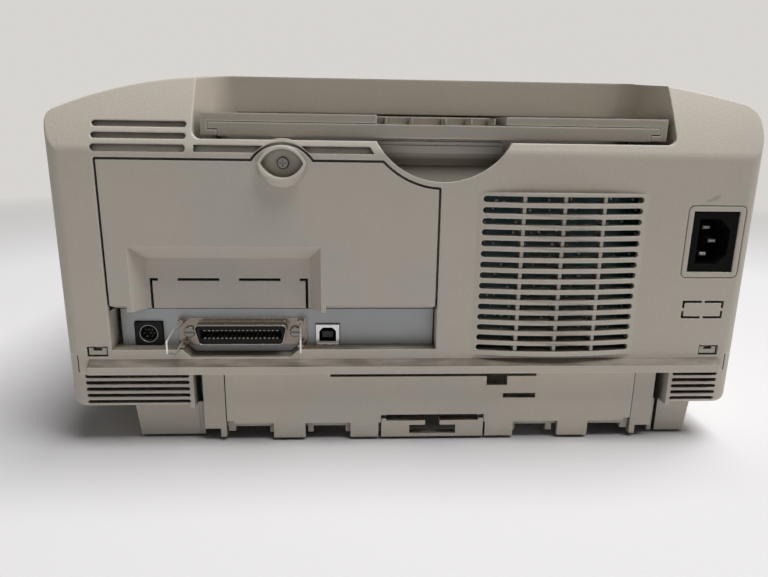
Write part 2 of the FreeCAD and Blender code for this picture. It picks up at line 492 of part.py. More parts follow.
def finger_notch():
    """The half-moon cut in the pocket's lip."""
    round_cut = bar_y(NOTCH_RADIUS, NOTCH_X, REAR + SPARE, inside(CHUTE_REAR - 1),
                      NOTCH_BOTTOM + NOTCH_RADIUS)
    return round_cut.common(block(-SIDE, SIDE, REAR + SPARE, inside(SPARE), NOTCH_BOTTOM - 1, POCKET_LIP + 1))


def lid_frame():
    """The flange round the opening of the top cover and the output flap."""
    band = body_form(WALL).cut(body_form(WALL + LID_FRAME))
    sides = [block(LID_LEFT, LID_LEFT + WALL, FRONT, inside(POCKET_DEPTH), SIDE_PARTING, TOP_HEIGHT),
             block(LID_RIGHT, LID_RIGHT - WALL, FRONT, inside(POCKET_DEPTH), SIDE_PARTING, TOP_HEIGHT)]
    return [band.common(side) for side in sides]


def ledge():
    """The ledge along the foot of the rear face, with a sloping top."""
    points = ((REAR - WALL, REAR_PARTING), (REAR + LEDGE_OUT, REAR_PARTING),
              (REAR + LEDGE_OUT, LEDGE_FACE_TOP),
              (REAR, LEDGE_TOP), (REAR - WALL, LEDGE_TOP))
    return prism_x(points, LEDGE_LEFT, LEDGE_RIGHT)


def socket_bay():
    """Shelf and jambs round the interface panel, and the rest that the cover sits on."""
    shelf = block(COVER_LEFT + COVER_GAP + WALL, COVER_RIGHT - COVER_GAP - WALL, inside(WALL),
                  inside(SHELF_DEPTH),
                  SHELF_TOP - SHELF_THICK, SHELF_TOP)
    jambs = [block(x, x + out * WALL, inside(WALL), inside(SHELF_DEPTH), SHELF_TOP, COVER_BOTTOM)
             for x, out in ((COVER_LEFT + COVER_GAP, 1), (COVER_RIGHT - COVER_GAP, -1))]
    ring = cover_prism(COVER_REST, WALL, WALL + COVER_REST_THICK)
    ring = ring.cut(cover_prism(-COVER_REST, WALL, WALL + COVER_REST_THICK))
    ring = ring.common(block(SIDE, -SIDE, REAR, inside(SPARE), COVER_BOTTOM + 2 * COVER_FOOT, TOP_HEIGHT))
    ring = ring.cut(eye_prism(EYE_RIM + CLEARANCE, 0, SPARE)).common(body_form(0))
    pan = block(PARALLEL_X + SHELF_CUT_HALF + WALL, PARALLEL_X - SHELF_CUT_HALF - WALL, inside(WALL),
                inside(SHELF_DEPTH), SHELF_TOP - SHELF_CUT_DROP - SHELF_THICK, SHELF_TOP - SHELF_THICK)
    return [shelf, pan, ring] + jambs


def shelf_cut(shrink, y0, y1):
    """The notch in the shelf under the parallel socket, drawn this far inside, between two planes."""
    top, foot = SHELF_CUT_HALF - shrink, SHELF_CUT_FOOT_HALF - shrink
    low = SHELF_TOP - SHELF_CUT_DROP + shrink
    return prism_y(((PARALLEL_X + top, SHELF_TOP), (PARALLEL_X + foot, low), (PARALLEL_X - foot, low),
                    (PARALLEL_X - top, SHELF_TOP)), y0, y1)


def socket_opening():
    """Where the cover, its screw cup and the sockets show, with a cut in the shelf for a plug."""
    opening = cover_prism(COVER_GAP, -SPARE, WALL + RUN_FIT)
    sockets = block(COVER_LEFT + COVER_GAP, COVER_RIGHT - COVER_GAP, REAR + SPARE, inside(WALL), SHELF_TOP,
                    COVER_BOTTOM)
    plug = shelf_cut(0, REAR + SPARE, inside(PANEL_DEPTH + PANEL_THICK + CLEARANCE))
    eye = eye_prism(EYE_RIM + CLEARANCE, 0, EYE_DEPTH + EYE_FLOOR + CLEARANCE)
    return [opening, sockets, plug, eye]


def screw_post():
    """The post behind the cover that its screw goes into, hung from the pocket's lip."""
    x0, x1 = EYE_X - SCREW_HEAD_RADIUS - WALL, EYE_X + SCREW_HEAD_RADIUS + WALL
    start = EYE_DEPTH + EYE_FLOOR + CLEARANCE
    arm = block(x0, x1, inside(WALL), inside(CHUTE_REAR - 1), POCKET_LIP - 2, POCKET_LIP)
    post = block(x0, x1, inside(start), inside(CHUTE_REAR - 1), EYE_Z - EYE_HALF_HEIGHT, POCKET_LIP)
    return [arm, post]


def grille_shell():
    """The bulged panel, its slots and the upright bars behind them."""
    y = REAR - WALL
    middle = (GRILLE_LEFT + GRILLE_RIGHT) / 2

    def dome(rise):
        ends = [V(GRILLE_LEFT, REAR, GRILLE_BOTTOM), V(GRILLE_RIGHT, REAR, GRILLE_BOTTOM)]
        crest = V(middle, REAR + rise, GRILLE_BOTTOM)
        back = [V(GRILLE_RIGHT, y, GRILLE_BOTTOM), V(GRILLE_LEFT, y, GRILLE_BOTTOM)]
        outline = [arc(ends[0], crest, ends[1]), line(ends[1], back[0]), line(back[0], back[1]),
                   line(back[1], ends[0])]
        return face(outline).extrude(V(0, 0, GRILLE_TOP - GRILLE_BOTTOM))

    panel = dome(GRILLE_BULGE)
    cuts = [slot(GRILLE_LEFT - GRILLE_MARGIN, GRILLE_RIGHT + GRILLE_MARGIN, REAR + SPARE, inside(SPARE),
                 GRILLE_ROW_TOP - i * GRILLE_PITCH, GRILLE_SLOT) for i in range(GRILLE_ROWS)]
    places = spread(GRILLE_LEFT - GRILLE_MARGIN, GRILLE_RIGHT + GRILLE_MARGIN, GRILLE_BARS + 2)[1:-1]
    thin = dome(GRILLE_BULGE - GRILLE_BAR_SETBACK)
    bars = [thin.common(block(x - GRILLE_BAR / 2, x + GRILLE_BAR / 2, REAR + SPARE, y, GRILLE_BOTTOM,
                              GRILLE_TOP))
            for x in places]
    return panel, cuts, bars


def inlet_cuts():
    """The inlet's opening and the fine groove round it."""
    x0, x1 = INLET_X - INLET_WIDTH / 2 - CLEARANCE, INLET_X + INLET_WIDTH / 2 + CLEARANCE
    z0, z1 = INLET_Z - INLET_HEIGHT / 2 - CLEARANCE, INLET_Z + INLET_HEIGHT / 2 + CLEARANCE
    opening = block(x0, x1, REAR + SPARE, inside(SPARE), z0, z1)
    outer = round_block(x0 - INLET_BORDER, x1 + INLET_BORDER, REAR + 1, inside(INLET_GROOVE_DEPTH),
                        z0 - INLET_BORDER, z1 + INLET_BORDER, INLET_BORDER, Y_AXIS)
    rim = INLET_BORDER - INLET_GROOVE
    inner = round_block(x0 - rim, x1 + rim, REAR + 2, inside(SPARE), z0 - rim, z1 + rim, rim, Y_AXIS)
    return [opening, outer.cut(inner)]


def blank_cuts():
    """Break-out slots round the blank plate, bridged in the middle of each side."""
    ring = block(BLANK_LEFT, BLANK_RIGHT, REAR + 1, inside(SPARE), BLANK_BOTTOM, BLANK_TOP)
    ring = ring.cut(block(BLANK_LEFT - BLANK_SLOT, BLANK_RIGHT + BLANK_SLOT, REAR + 2, inside(SPARE + 1),
                          BLANK_BOTTOM + BLANK_SLOT, BLANK_TOP - BLANK_SLOT))
    x, z = (BLANK_LEFT + BLANK_RIGHT) / 2, (BLANK_BOTTOM + BLANK_TOP) / 2
    bridges = [block(x - BLANK_BRIDGE / 2, x + BLANK_BRIDGE / 2, REAR + 2, inside(SPARE + 1), 0, TOP_HEIGHT),
               block(SIDE, -SIDE, REAR + 2, inside(SPARE + 1), z - BLANK_BRIDGE / 2, z + BLANK_BRIDGE / 2)]
    return [ring.cut(bridges)]


def shoulder_vents():
    """Three level grooves on the shoulder, and a slanted one on each side of the cover's screw."""
    cuts = [slot(VENT_LEFT, VENT_RIGHT, REAR + SPARE, inside(SPARE), z, height)
            for z, height in VENT_HEIGHTS]
    left, right, end = EYE_X + EYE_VENT_INNER, EYE_X - EYE_VENT_INNER, NOTCH_X + EYE_VENT_END
    for points in ([(EYE_VENT_LEFT, EYE_VENT_TOP), (left, EYE_VENT_TOP),
                    (left + EYE_VENT_SLANT, EYE_VENT_BOTTOM), (EYE_VENT_LEFT, EYE_VENT_BOTTOM)],
                   [(right, EYE_VENT_TOP), (end, EYE_VENT_TOP),
                    (end - EYE_VENT_TAPER, EYE_VENT_BOTTOM), (right - EYE_VENT_SLANT, EYE_VENT_BOTTOM)]):
        cuts.append(prism_y(points, REAR + SPARE, inside(SPARE)))
    floor = body_form(VENT_DEPTH)
    return [cut.cut(floor) for cut in cuts]


def clip_windows():
    return [block(x - WINDOW_WIDTH / 2, x + WINDOW_WIDTH / 2, REAR + SPARE, inside(WALL), WINDOW_BOTTOM,
                  WINDOW_TOP)
            for x in (WINDOW_LEFT_X, WINDOW_RIGHT_X)]


def front_openings():
    """The top cover's opening, the output opening below it, and the control panel's opening."""
    lid = block(LID_LEFT, LID_RIGHT, FRONT - SPARE, inside(POCKET_DEPTH + WALL), LID_FRONT_EDGE,
                TOP_HEIGHT + SPARE)
    output = block(LID_LEFT, LID_RIGHT, FRONT - SPARE, FRONT + WALL, OPENING_BOTTOM, LID_FRONT_EDGE)
    panel = round_block(CONTROL_LEFT + CLEARANCE, CONTROL_RIGHT - CLEARANCE, FRONT - SPARE, FRONT + WALL,
                        CONTROL_BOTTOM - CLEARANCE, CONTROL_TOP + CLEARANCE, CONTROL_CORNER, Y_AXIS)
    return [lid, output, panel]


def below_parting():
    """What belongs to the base: all below the parting, which steps down along the rear."""
    low = block(SIDE, -SIDE, FRONT, REAR, 0, REAR_PARTING)
    body = block(SIDE, -SIDE, FRONT, inside(WALL), 0, SIDE_PARTING)
    cheeks = [block(x * (SIDE - CHEEK), x * SIDE, FRONT, REAR, 0, SIDE_PARTING) for x in (1, -1)]
    return [low, body] + cheeks


def lid_axis():
    return inside(POCKET_DEPTH + WALL + LID_REAR_GAP + LID_AXIS_SETBACK), TOP_HEIGHT - LID_AXIS_DROP


def tray_axis():
    return inside(TRAY_FRONT - TRAY_PIN_SETBACK), TRAY_TOP - TRAY_PIN_DROP


def pivot_holes():
    """Holes for the pins of the feed tray, the top cover and the output flap."""
    tray_y, tray_z = tray_axis()
    lid_y, lid_z = lid_axis()
    return [bar_x(TRAY_PIN_RADIUS + RUN_FIT, POCKET_RIGHT - WALL - 1, POCKET_LEFT + WALL + 1, tray_y, tray_z),
            bar_x(LID_PIN_RADIUS + RUN_FIT, LID_RIGHT - WALL, LID_LEFT + WALL, lid_y, lid_z),
            bar_x(FLAP_PIN_RADIUS + RUN_FIT, LID_RIGHT - WALL, LID_LEFT + WALL, FRONT + FLAP_AXIS_DEPTH,
                  FLAP_AXIS_Z)]


def upper_casing():
    form = soft_body()
    panel, grille_cuts, grille_bars = grille_shell()
    shell = form.cut(body_form(WALL))
    shell = less(shell, [panel.common(form)])
    shell = join([shell, pocket_tub(form)] + lid_frame())
    shell = less(shell, [pocket_void(), finger_notch()] + front_openings() + below_parting())
    shell = join([shell, ledge(), panel] + socket_bay())
    slots = grille_cuts + inlet_cuts() + blank_cuts() + shoulder_vents() + clip_windows() + socket_opening()
    shell = less(shell, slots)
    shell = join([shell] + grille_bars + screw_post() + board_posts())
    feed_slot = block(PAPER_CENTRE - PAPER_WIDTH / 2, PAPER_CENTRE + PAPER_WIDTH / 2,
                      inside(POCKET_DEPTH - 1),
                      inside(POCKET_DEPTH + WALL + 1), FEED_SLOT_BOTTOM, FEED_SLOT_TOP)
    screw_hole = bar_y(SCREW_RADIUS, EYE_X, REAR, inside(CHUTE_REAR), EYE_Z)
    return less(shell, [feed_slot, screw_hole] + pivot_holes())


def board_posts():
    """Posts behind the grille that carry the power board at its corners."""
    inset = POST_RADIUS + 1
    return [bar_y(POST_RADIUS, x, inside(WALL), inside(POWER_DEPTH), z)
            for x in (POWER_LEFT - inset, POWER_RIGHT + inset) for z in (POWER_BOTTOM + inset,
                                                                         POWER_TOP - inset)]


# Interface cover

def eye_outline(grow, below, y):
    """The almond round the cover's screw, grown by a margin, and by another on its lower side."""
    ends = [V(EYE_X + EYE_HALF_WIDTH + grow, y, EYE_Z), V(EYE_X - EYE_HALF_WIDTH - grow, y, EYE_Z)]
    top, low = V(EYE_X, y, EYE_Z + EYE_HALF_HEIGHT + grow), V(EYE_X, y, EYE_Z - EYE_HALF_HEIGHT - below)
    return Part.Wire([arc(ends[0], top, ends[1]), arc(ends[1], low, ends[0])])


def eye_prism(grow, depth0, depth1):
    outline = Part.Face(eye_outline(grow, grow, inside(max(depth0, depth1))))
    return outline.extrude(V(0, abs(depth1 - depth0), 0))


def recess_frustum(grow, depth0, depth1):
    """The bevelled recess over the sockets, open at the bottom."""
    def frame(depth):
        share = depth / RECESS_DEPTH
        lean = grow - share * RECESS_BEVEL_SIDE
        x0, x1 = RECESS_LEFT + lean, RECESS_RIGHT - lean
        top = RECESS_TOP + grow - share * RECESS_BEVEL_TOP
        corners = [V(x0, inside(depth), COVER_BOTTOM - SPARE), V(x1, inside(depth), COVER_BOTTOM - SPARE),
                   V(x1, inside(depth), top), V(x0, inside(depth), top)]
        return Part.makePolygon(corners + corners[:1])
    return Part.makeLoft([frame(depth0), frame(depth1)], True, True)


def knock_out_slots():
    """The slots round the break-out plate in the recess, with bridges along its top."""
    y0, y1 = inside(RECESS_DEPTH - 1), inside(RECESS_DEPTH + WALL + 1)
    sides = [block(KNOCK_LEFT, KNOCK_LEFT - KNOCK_SLOT, y0, y1, COVER_BOTTOM - 1, KNOCK_TOP),
             block(KNOCK_RIGHT, KNOCK_RIGHT + KNOCK_SLOT, y0, y1, COVER_BOTTOM - 1, KNOCK_TOP)]
    top = block(KNOCK_LEFT, KNOCK_RIGHT, y0, y1, KNOCK_TOP - KNOCK_SLOT, KNOCK_TOP)
    middle = (KNOCK_LEFT + KNOCK_RIGHT) / 2
    bridges = [block(middle + i * KNOCK_PITCH - KNOCK_BRIDGE / 2, middle + i * KNOCK_PITCH + KNOCK_BRIDGE / 2,
                     y0 + 1, y1 - 1, KNOCK_TOP - 2 * KNOCK_SLOT, KNOCK_TOP + 1) for i in (-1, 0, 1)]
    return sides + [top.cut(bridges)]


def interface_cover():
    plate = cover_prism(0, 0, WALL).common(body_form(0))
    plate = less(plate, [block(SIDE, -SIDE, REAR + 1, inside(WALL + 1), COVER_BOTTOM - 1,
                               COVER_BOTTOM + COVER_FOOT)])
    depth = PANEL_DEPTH - CLEARANCE
    foot = prism_x(((REAR, COVER_BOTTOM + COVER_FOOT), (inside(depth), COVER_BOTTOM),
                    (inside(depth), COVER_BOTTOM + WALL), (inside(WALL), COVER_BOTTOM + COVER_FOOT + WALL)),
                   COVER_LEFT, COVER_RIGHT)
    box = recess_frustum(WALL, 0, RECESS_DEPTH + WALL)
    box = box.common(block(SIDE, -SIDE, REAR, inside(SPARE), COVER_BOTTOM, TOP_HEIGHT))
    lip = Part.makeLoft([eye_outline(EYE_RIM, EYE_LIP, REAR),
                         eye_outline(EYE_RIM, EYE_RIM, REAR + EYE_STAND)], True, True)
    rim = join([eye_prism(EYE_RIM, 0, EYE_DEPTH + EYE_FLOOR), lip])
    low, high = EYE_Z - EYE_HALF_HEIGHT - EYE_RIM, EYE_Z + EYE_HALF_HEIGHT + EYE_RIM
    slope = prism_x(((REAR + EYE_STAND, low - 1), (REAR, high), (REAR + EYE_STAND + 1, high)),
                    EYE_X - SPARE, EYE_X + SPARE)
    cover = join([plate, foot, box, rim.cut(slope)])
    cuts = [recess_frustum(0, -1, RECESS_DEPTH), eye_prism(0, -SPARE, EYE_DEPTH),
            bar_y(SCREW_RADIUS + CLEARANCE, EYE_X, REAR, inside(SPARE), EYE_Z)]
    return less(cover, cuts + knock_out_slots())


def cover_screw():
    seat = inside(EYE_DEPTH)
    head = bar_y(SCREW_HEAD_RADIUS, EYE_X, seat, seat + SCREW_HEAD, EYE_Z)
    crown = [e for e in head.Edges if e.CenterOfMass.y > seat + SCREW_HEAD - 0.01]
    head = head.makeFillet(SCREW_HEAD / 2, crown)
    shank = bar_y(SCREW_RADIUS, EYE_X, seat, seat - SCREW_LENGTH, EYE_Z)
    reach = SCREW_HEAD_RADIUS * 0.6
    cross = [block(EYE_X - a, EYE_X + a, seat + SCREW_HEAD - SCREW_DRIVE, seat + SCREW_HEAD + 1, EYE_Z - b,
                   EYE_Z + b)
             for a, b in ((reach, SCREW_DRIVE / 3), (SCREW_DRIVE / 3, reach))]
    return less(join([head, shank]), cross)


# Interface panel and its sockets

def io_panel():
    front, back = inside(PANEL_DEPTH), inside(PANEL_DEPTH + PANEL_THICK)
    plate = block(PANEL_LEFT, PANEL_RIGHT, front, back, SHELF_TOP, PANEL_TOP)
    apron = shelf_cut(CLEARANCE, front, back)
    foot = block(PANEL_LEFT, PANEL_RIGHT, inside(PANEL_DEPTH), inside(SHELF_DEPTH), SHELF_TOP,
                 SHELF_TOP + PANEL_THICK)
    holes = [block(x - w / 2 - CLEARANCE, x + w / 2 + CLEARANCE, REAR, inside(SPARE), z - h / 2 - CLEARANCE,
                   z + h / 2 + CLEARANCE)
             for x, z, w, h in ((PARALLEL_X, SOCKET_Z, DSHELL_WIDTH, DSHELL_HEIGHT),
                                (USB_X, USB_Z, USB_WIDTH, USB_HEIGHT),
                                (SERIAL_X, SERIAL_Z, SERIAL_WIDTH, SERIAL_HEIGHT))]
    bores = [bar_y(SCREW_RADIUS + CLEARANCE, x, REAR, inside(SPARE), SOCKET_Z) for x in port_screw_places()]
    return less(join([plate, foot, apron]), holes + bores)


def port_screw_places():
    reach = DSHELL_WIDTH / 2 + SCREW_HEAD_RADIUS + CLEARANCE
    return PARALLEL_X - reach, PARALLEL_X + reach


def dshell_prism(shrink, y0, y1):
    """The socket's tapered outline, drawn this far inside, between two planes."""
    half, low = DSHELL_WIDTH / 2 - shrink, DSHELL_HEIGHT / 2 - shrink
    points = [(PARALLEL_X - half, SOCKET_Z + low), (PARALLEL_X + half, SOCKET_Z + low),
              (PARALLEL_X + half - DSHELL_TAPER, SOCKET_Z - low),
              (PARALLEL_X - half + DSHELL_TAPER, SOCKET_Z - low)]
    solid = prism_y(points, y0, y1)
    return solid.makeFillet(DSHELL_CORNER - shrink, edges_along(solid, Y_AXIS))


def clip_pivots():
    return PARALLEL_X + CLIP_PIVOT_SPREAD, PARALLEL_X - CLIP_PIVOT_SPREAD


def parallel_port_shell():
    face_y = inside(PANEL_DEPTH)
    flange = block(PARALLEL_X - FLANGE_WIDTH / 2, PARALLEL_X + FLANGE_WIDTH / 2, face_y,
                   face_y + FLANGE_THICK,
                   SOCKET_Z - FLANGE_HEIGHT / 2, SOCKET_Z + FLANGE_HEIGHT / 2)
    sleeve = dshell_prism(0, face_y, inside(DSHELL_SETBACK))
    low = CLIP_HALF_HEIGHT + CLIP_WIRE / 2 + CLEARANCE
    lugs = [block(x - LUG_SIZE / 2, x + LUG_SIZE / 2, face_y, inside(CLIP_PIVOT_DEPTH - LUG_SIZE / 2),
                  SOCKET_Z + up * low, SOCKET_Z + up * (low + CLIP_STUB))
            for x in clip_pivots() for up in (1, -1)]
    holes = [bar(CLIP_WIRE / 2 + RUN_FIT, V(x, inside(CLIP_PIVOT_DEPTH), 0),
                 V(x, inside(CLIP_PIVOT_DEPTH), PANEL_TOP))
             for x in clip_pivots()]
    bores = [bar_y(SCREW_RADIUS + CLEARANCE, x, REAR, inside(SPARE), SOCKET_Z) for x in port_screw_places()]
    hollow = dshell_prism(DSHELL_WALL, REAR + 1, inside(SPARE))
    return less(join([flange, sleeve] + lugs), [hollow] + holes + bores)


def port_slot_half():
    return CONTACT_PITCH * CONTACT_COUNT / 2 + CONTACT_WIDTH


def parallel_port_insert():
    front, back = inside(DSHELL_SETBACK + DSHELL_WALL), inside(BOARD_DEPTH)
    body = dshell_prism(DSHELL_WALL + RUN_FIT, front, back)
    half = port_slot_half()
    mouth = block(PARALLEL_X - half, PARALLEL_X + half, front + 1, inside(PANEL_DEPTH + PANEL_THICK),
                  SOCKET_Z - SLOT_HEIGHT / 2, SOCKET_Z + SLOT_HEIGHT / 2)
    return less(body, [mouth])


def parallel_port_contacts():
    """Two rows of contacts on the slot's upper and lower faces."""
    first = PARALLEL_X - CONTACT_PITCH * (CONTACT_COUNT - 1) / 2
    front, back = inside(DSHELL_SETBACK + DSHELL_WALL), inside(PANEL_DEPTH + PANEL_THICK)
    rows = []
    for up in (1, -1):
        root = SOCKET_Z + up * SLOT_HEIGHT / 2
        rows += [block(first + i * CONTACT_PITCH - CONTACT_WIDTH / 2,
                       first + i * CONTACT_PITCH + CONTACT_WIDTH / 2,
                       front - CONTACT_RISE, back, root, root - up * CONTACT_RISE)
                 for i in range(CONTACT_COUNT)]
    return Part.makeCompound(rows)


def port_screws():
    seat = inside(PANEL_DEPTH - FLANGE_THICK)
    solids = []
    for x in port_screw_places():
        head = bar_y(SCREW_HEAD_RADIUS, x, seat, seat + SCREW_HEAD, SOCKET_Z)
        crown = [e for e in head.Edges if e.CenterOfMass.y > seat + SCREW_HEAD - 0.01]
        head = head.makeFillet(SCREW_HEAD / 3, crown)
        shank = bar_y(SCREW_RADIUS, x, seat, seat - SCREW_LENGTH, SOCKET_Z)
        drive = block(x - SCREW_HEAD_RADIUS, x + SCREW_HEAD_RADIUS, seat + SCREW_HEAD - SCREW_DRIVE,
                      seat + SCREW_HEAD + 1, SOCKET_Z - SCREW_DRIVE / 2, SOCKET_Z + SCREW_DRIVE / 2)
        solids.append(less(join([head, shank]), [drive]))
    return Part.makeCompound(solids)


def port_clip(x, swing):
    """A wire clip: two stubs in the lugs, two arms bent at the knee and the bar across their ends."""
    turn = math.radians(swing)
    way = V(math.sin(turn), math.cos(turn), 0)
    pivot = V(x, inside(CLIP_PIVOT_DEPTH), SOCKET_Z)
    knee, tip = pivot + way * CLIP_KNEE, pivot + way * CLIP_LENGTH + V(0, 0, CLIP_TIP_RISE)
    stub = CLIP_HALF_HEIGHT + CLIP_WIRE / 2 + CLEARANCE + CLIP_STUB
    half = [(pivot, stub), (pivot, CLIP_HALF_HEIGHT), (knee, CLIP_KNEE_HALF_HEIGHT),
            (tip, CLIP_TIP_HALF_HEIGHT)]
    points = [place + V(0, 0, rise) for place, rise in half]
    points += [place - V(0, 0, rise) for place, rise in reversed(half)]
    rods = [bar(CLIP_WIRE / 2, a, b) for a, b in zip(points, points[1:])]
    knees = [Part.makeSphere(CLIP_WIRE / 2, p) for p in points[1:-1]]
    return join(rods + knees)


def usb_frame(shrink, corner, y0, y1):
    half, tall = USB_WIDTH / 2 - shrink, USB_HEIGHT / 2 - shrink
    points = [(USB_X - half, USB_Z - tall), (USB_X + half, USB_Z - tall),
              (USB_X + half, USB_Z + tall - corner),
              (USB_X + half - corner, USB_Z + tall), (USB_X - half + corner, USB_Z + tall),
              (USB_X - half, USB_Z + tall - corner)]
    return prism_y(points, y0, y1)


def usb_port_shell():
    front, back = inside(PANEL_DEPTH - USB_STAND), inside(BOARD_DEPTH)
    outer = block(USB_X - USB_WIDTH / 2, USB_X + USB_WIDTH / 2, front, back,
                  USB_Z - USB_HEIGHT / 2, USB_Z + USB_HEIGHT / 2)
    return less(outer, [usb_frame(USB_WALL, USB_CORNER, front + 1, back - 1)])


def usb_port_insert():
    """Lining with the square mouth of a device socket and its tongue."""
    front, back = inside(PANEL_DEPTH - USB_STAND + USB_WALL), inside(BOARD_DEPTH)
    lining = usb_frame(USB_WALL + RUN_FIT, USB_CORNER, front, back)
    mouth = usb_frame(USB_WALL + USB_LINING, USB_CORNER, front + 1, back + USB_LINING)
    tongue = block(USB_X - USB_TONGUE_WIDTH / 2, USB_X + USB_TONGUE_WIDTH / 2, front - USB_WALL, back,
                   USB_Z - USB_TONGUE_HEIGHT / 2, USB_Z + USB_TONGUE_HEIGHT / 2)
    return join([less(lining, [mouth]), tongue])


def serial_port():
    """A round mini socket: a box with a round mouth and the key at its foot."""
    front, back = inside(PANEL_DEPTH - SERIAL_STAND), inside(BOARD_DEPTH)
    body = round_block(SERIAL_X - SERIAL_WIDTH / 2, SERIAL_X + SERIAL_WIDTH / 2, front, back,
                       SERIAL_Z - SERIAL_HEIGHT / 2, SERIAL_Z + SERIAL_HEIGHT / 2, SERIAL_CORNER, Y_AXIS)
    floor, low = front - SERIAL_DEPTH, SERIAL_Z - SERIAL_RADIUS
    mouth = bar_y(SERIAL_RADIUS, SERIAL_X, front + 1, floor, SERIAL_Z)
    key = block(SERIAL_X - SERIAL_KEY / 2, SERIAL_X + SERIAL_KEY / 2, front - SERIAL_KEY_SETBACK, floor - 1,
                low - SERIAL_KEY_RISE / 2, low + SERIAL_KEY_RISE)
    return join([less(body, [mouth]), key])


def main_board():
    board = block(PANEL_LEFT, PANEL_RIGHT, inside(BOARD_DEPTH), inside(BOARD_DEPTH + BOARD_THICK),
                  SHELF_TOP - SHELF_THICK, MAIN_BOARD_TOP)
    chips = [block(x - CHIP_SIZE / 2, x + CHIP_SIZE / 2, inside(BOARD_DEPTH + BOARD_THICK),
                   inside(BOARD_DEPTH + BOARD_THICK + CHIP_THICK), z - CHIP_SIZE / 2, z + CHIP_SIZE / 2)
             for x in spread(PANEL_RIGHT + CHIP_SIZE, PANEL_LEFT - CHIP_SIZE, CHIP_COLUMNS)
             for z in (SHELF_TOP + 1.5 * CHIP_SIZE, MAIN_BOARD_TOP - CHIP_SIZE)]
    return join([board] + chips)


# Power: inlet, pins, board and what stands on it

def mains_inlet():
    front = inside(INLET_SETBACK)
    flange = block(INLET_X - INLET_WIDTH / 2, INLET_X + INLET_WIDTH / 2, front, front - INLET_FLANGE,
                   INLET_Z - INLET_HEIGHT / 2, INLET_Z + INLET_HEIGHT / 2)
    half, tall = INLET_WIDTH / 2 - INLET_WALL, INLET_HEIGHT / 2 - INLET_WALL
    body = block(INLET_X - half - INLET_WALL / 2, INLET_X + half + INLET_WALL / 2, front, front - INLET_DEPTH,
                 INLET_Z - tall - INLET_WALL / 2, INLET_Z + tall + INLET_WALL / 2)
    points = [(INLET_X + half, INLET_Z - tall), (INLET_X + half, INLET_Z + tall),
              (INLET_X - half + INLET_CHAMFER, INLET_Z + tall), (INLET_X - half,
                                                                 INLET_Z + tall - INLET_CHAMFER),
              (INLET_X - half, INLET_Z - tall + INLET_CHAMFER), (INLET_X - half + INLET_CHAMFER,
                                                                 INLET_Z - tall)]
    return less(join([flange, body]), [prism_y(points, front + 1, front - INLET_HOLLOW)])


def inlet_pins():
    root = inside(INLET_SETBACK + INLET_HOLLOW)
    across = INLET_PIN_OFFSET / 2
    places = [(INLET_X + across, INLET_Z + INLET_PIN_PITCH / 2),
              (INLET_X + across, INLET_Z - INLET_PIN_PITCH / 2),
              (INLET_X - across, INLET_Z)]
    solids = []
    for x, z in places:
        blade = block(x - INLET_PIN_WIDTH / 2, x + INLET_PIN_WIDTH / 2, root, root + INLET_PIN_LENGTH,
                      z - INLET_PIN_THICK / 2, z + INLET_PIN_THICK / 2)
        tip = [e for e in blade.Edges if e.CenterOfMass.y > root + INLET_PIN_LENGTH - 0.01]
        solids.append(blade.makeChamfer(INLET_PIN_THICK / 4, tip))
    return Part.makeCompound(solids)


def power_board():
    return block(POWER_LEFT, POWER_RIGHT, inside(POWER_DEPTH), inside(POWER_DEPTH + BOARD_THICK),
                 POWER_BOTTOM, POWER_TOP)


def power_transformer():
    y = inside(POWER_DEPTH + BOARD_THICK)
    x, z = (POWER_LEFT + POWER_RIGHT) / 2 + TRANSFORMER_WIDTH / 2, (POWER_BOTTOM + POWER_TOP) / 2
    core = block(x - TRANSFORMER_WIDTH / 2, x + TRANSFORMER_WIDTH / 2, y, y - TRANSFORMER_DEPTH,
                 z - TRANSFORMER_HEIGHT / 2, z + TRANSFORMER_HEIGHT / 2)
    tall = TRANSFORMER_HEIGHT / 2 + WINDING_OVER
    winding = round_block(x - TRANSFORMER_WIDTH / 4, x + TRANSFORMER_WIDTH / 4, y,
                          y - TRANSFORMER_DEPTH - WINDING_OVER, z - tall, z + tall, WINDING_OVER, Y_AXIS)
    return join([core, winding])


def power_capacitors():
    y = inside(POWER_DEPTH + BOARD_THICK)
    x = POWER_RIGHT + 2 * CAPACITOR_RADIUS
    heights = spread(POWER_BOTTOM + 2 * CAPACITOR_RADIUS, POWER_TOP - 2 * CAPACITOR_RADIUS, CAPACITOR_COUNT)
    return Part.makeCompound([bar_y(CAPACITOR_RADIUS, x, y, y - CAPACITOR_LENGTH, z) for z in heights])


# Feed tray in the pocket, its pull-out extension and the chute under them

def tray_ends():
    return POCKET_LEFT - TRAY_GAP, POCKET_RIGHT + TRAY_GAP


def tray_slide():
    """Underside of the tray plate, top and bottom of the extension that runs below it."""
    under = TRAY_TOP - TRAY_PLATE
    return under, under - CLEARANCE, under - CLEARANCE - EXTENSION_HEIGHT


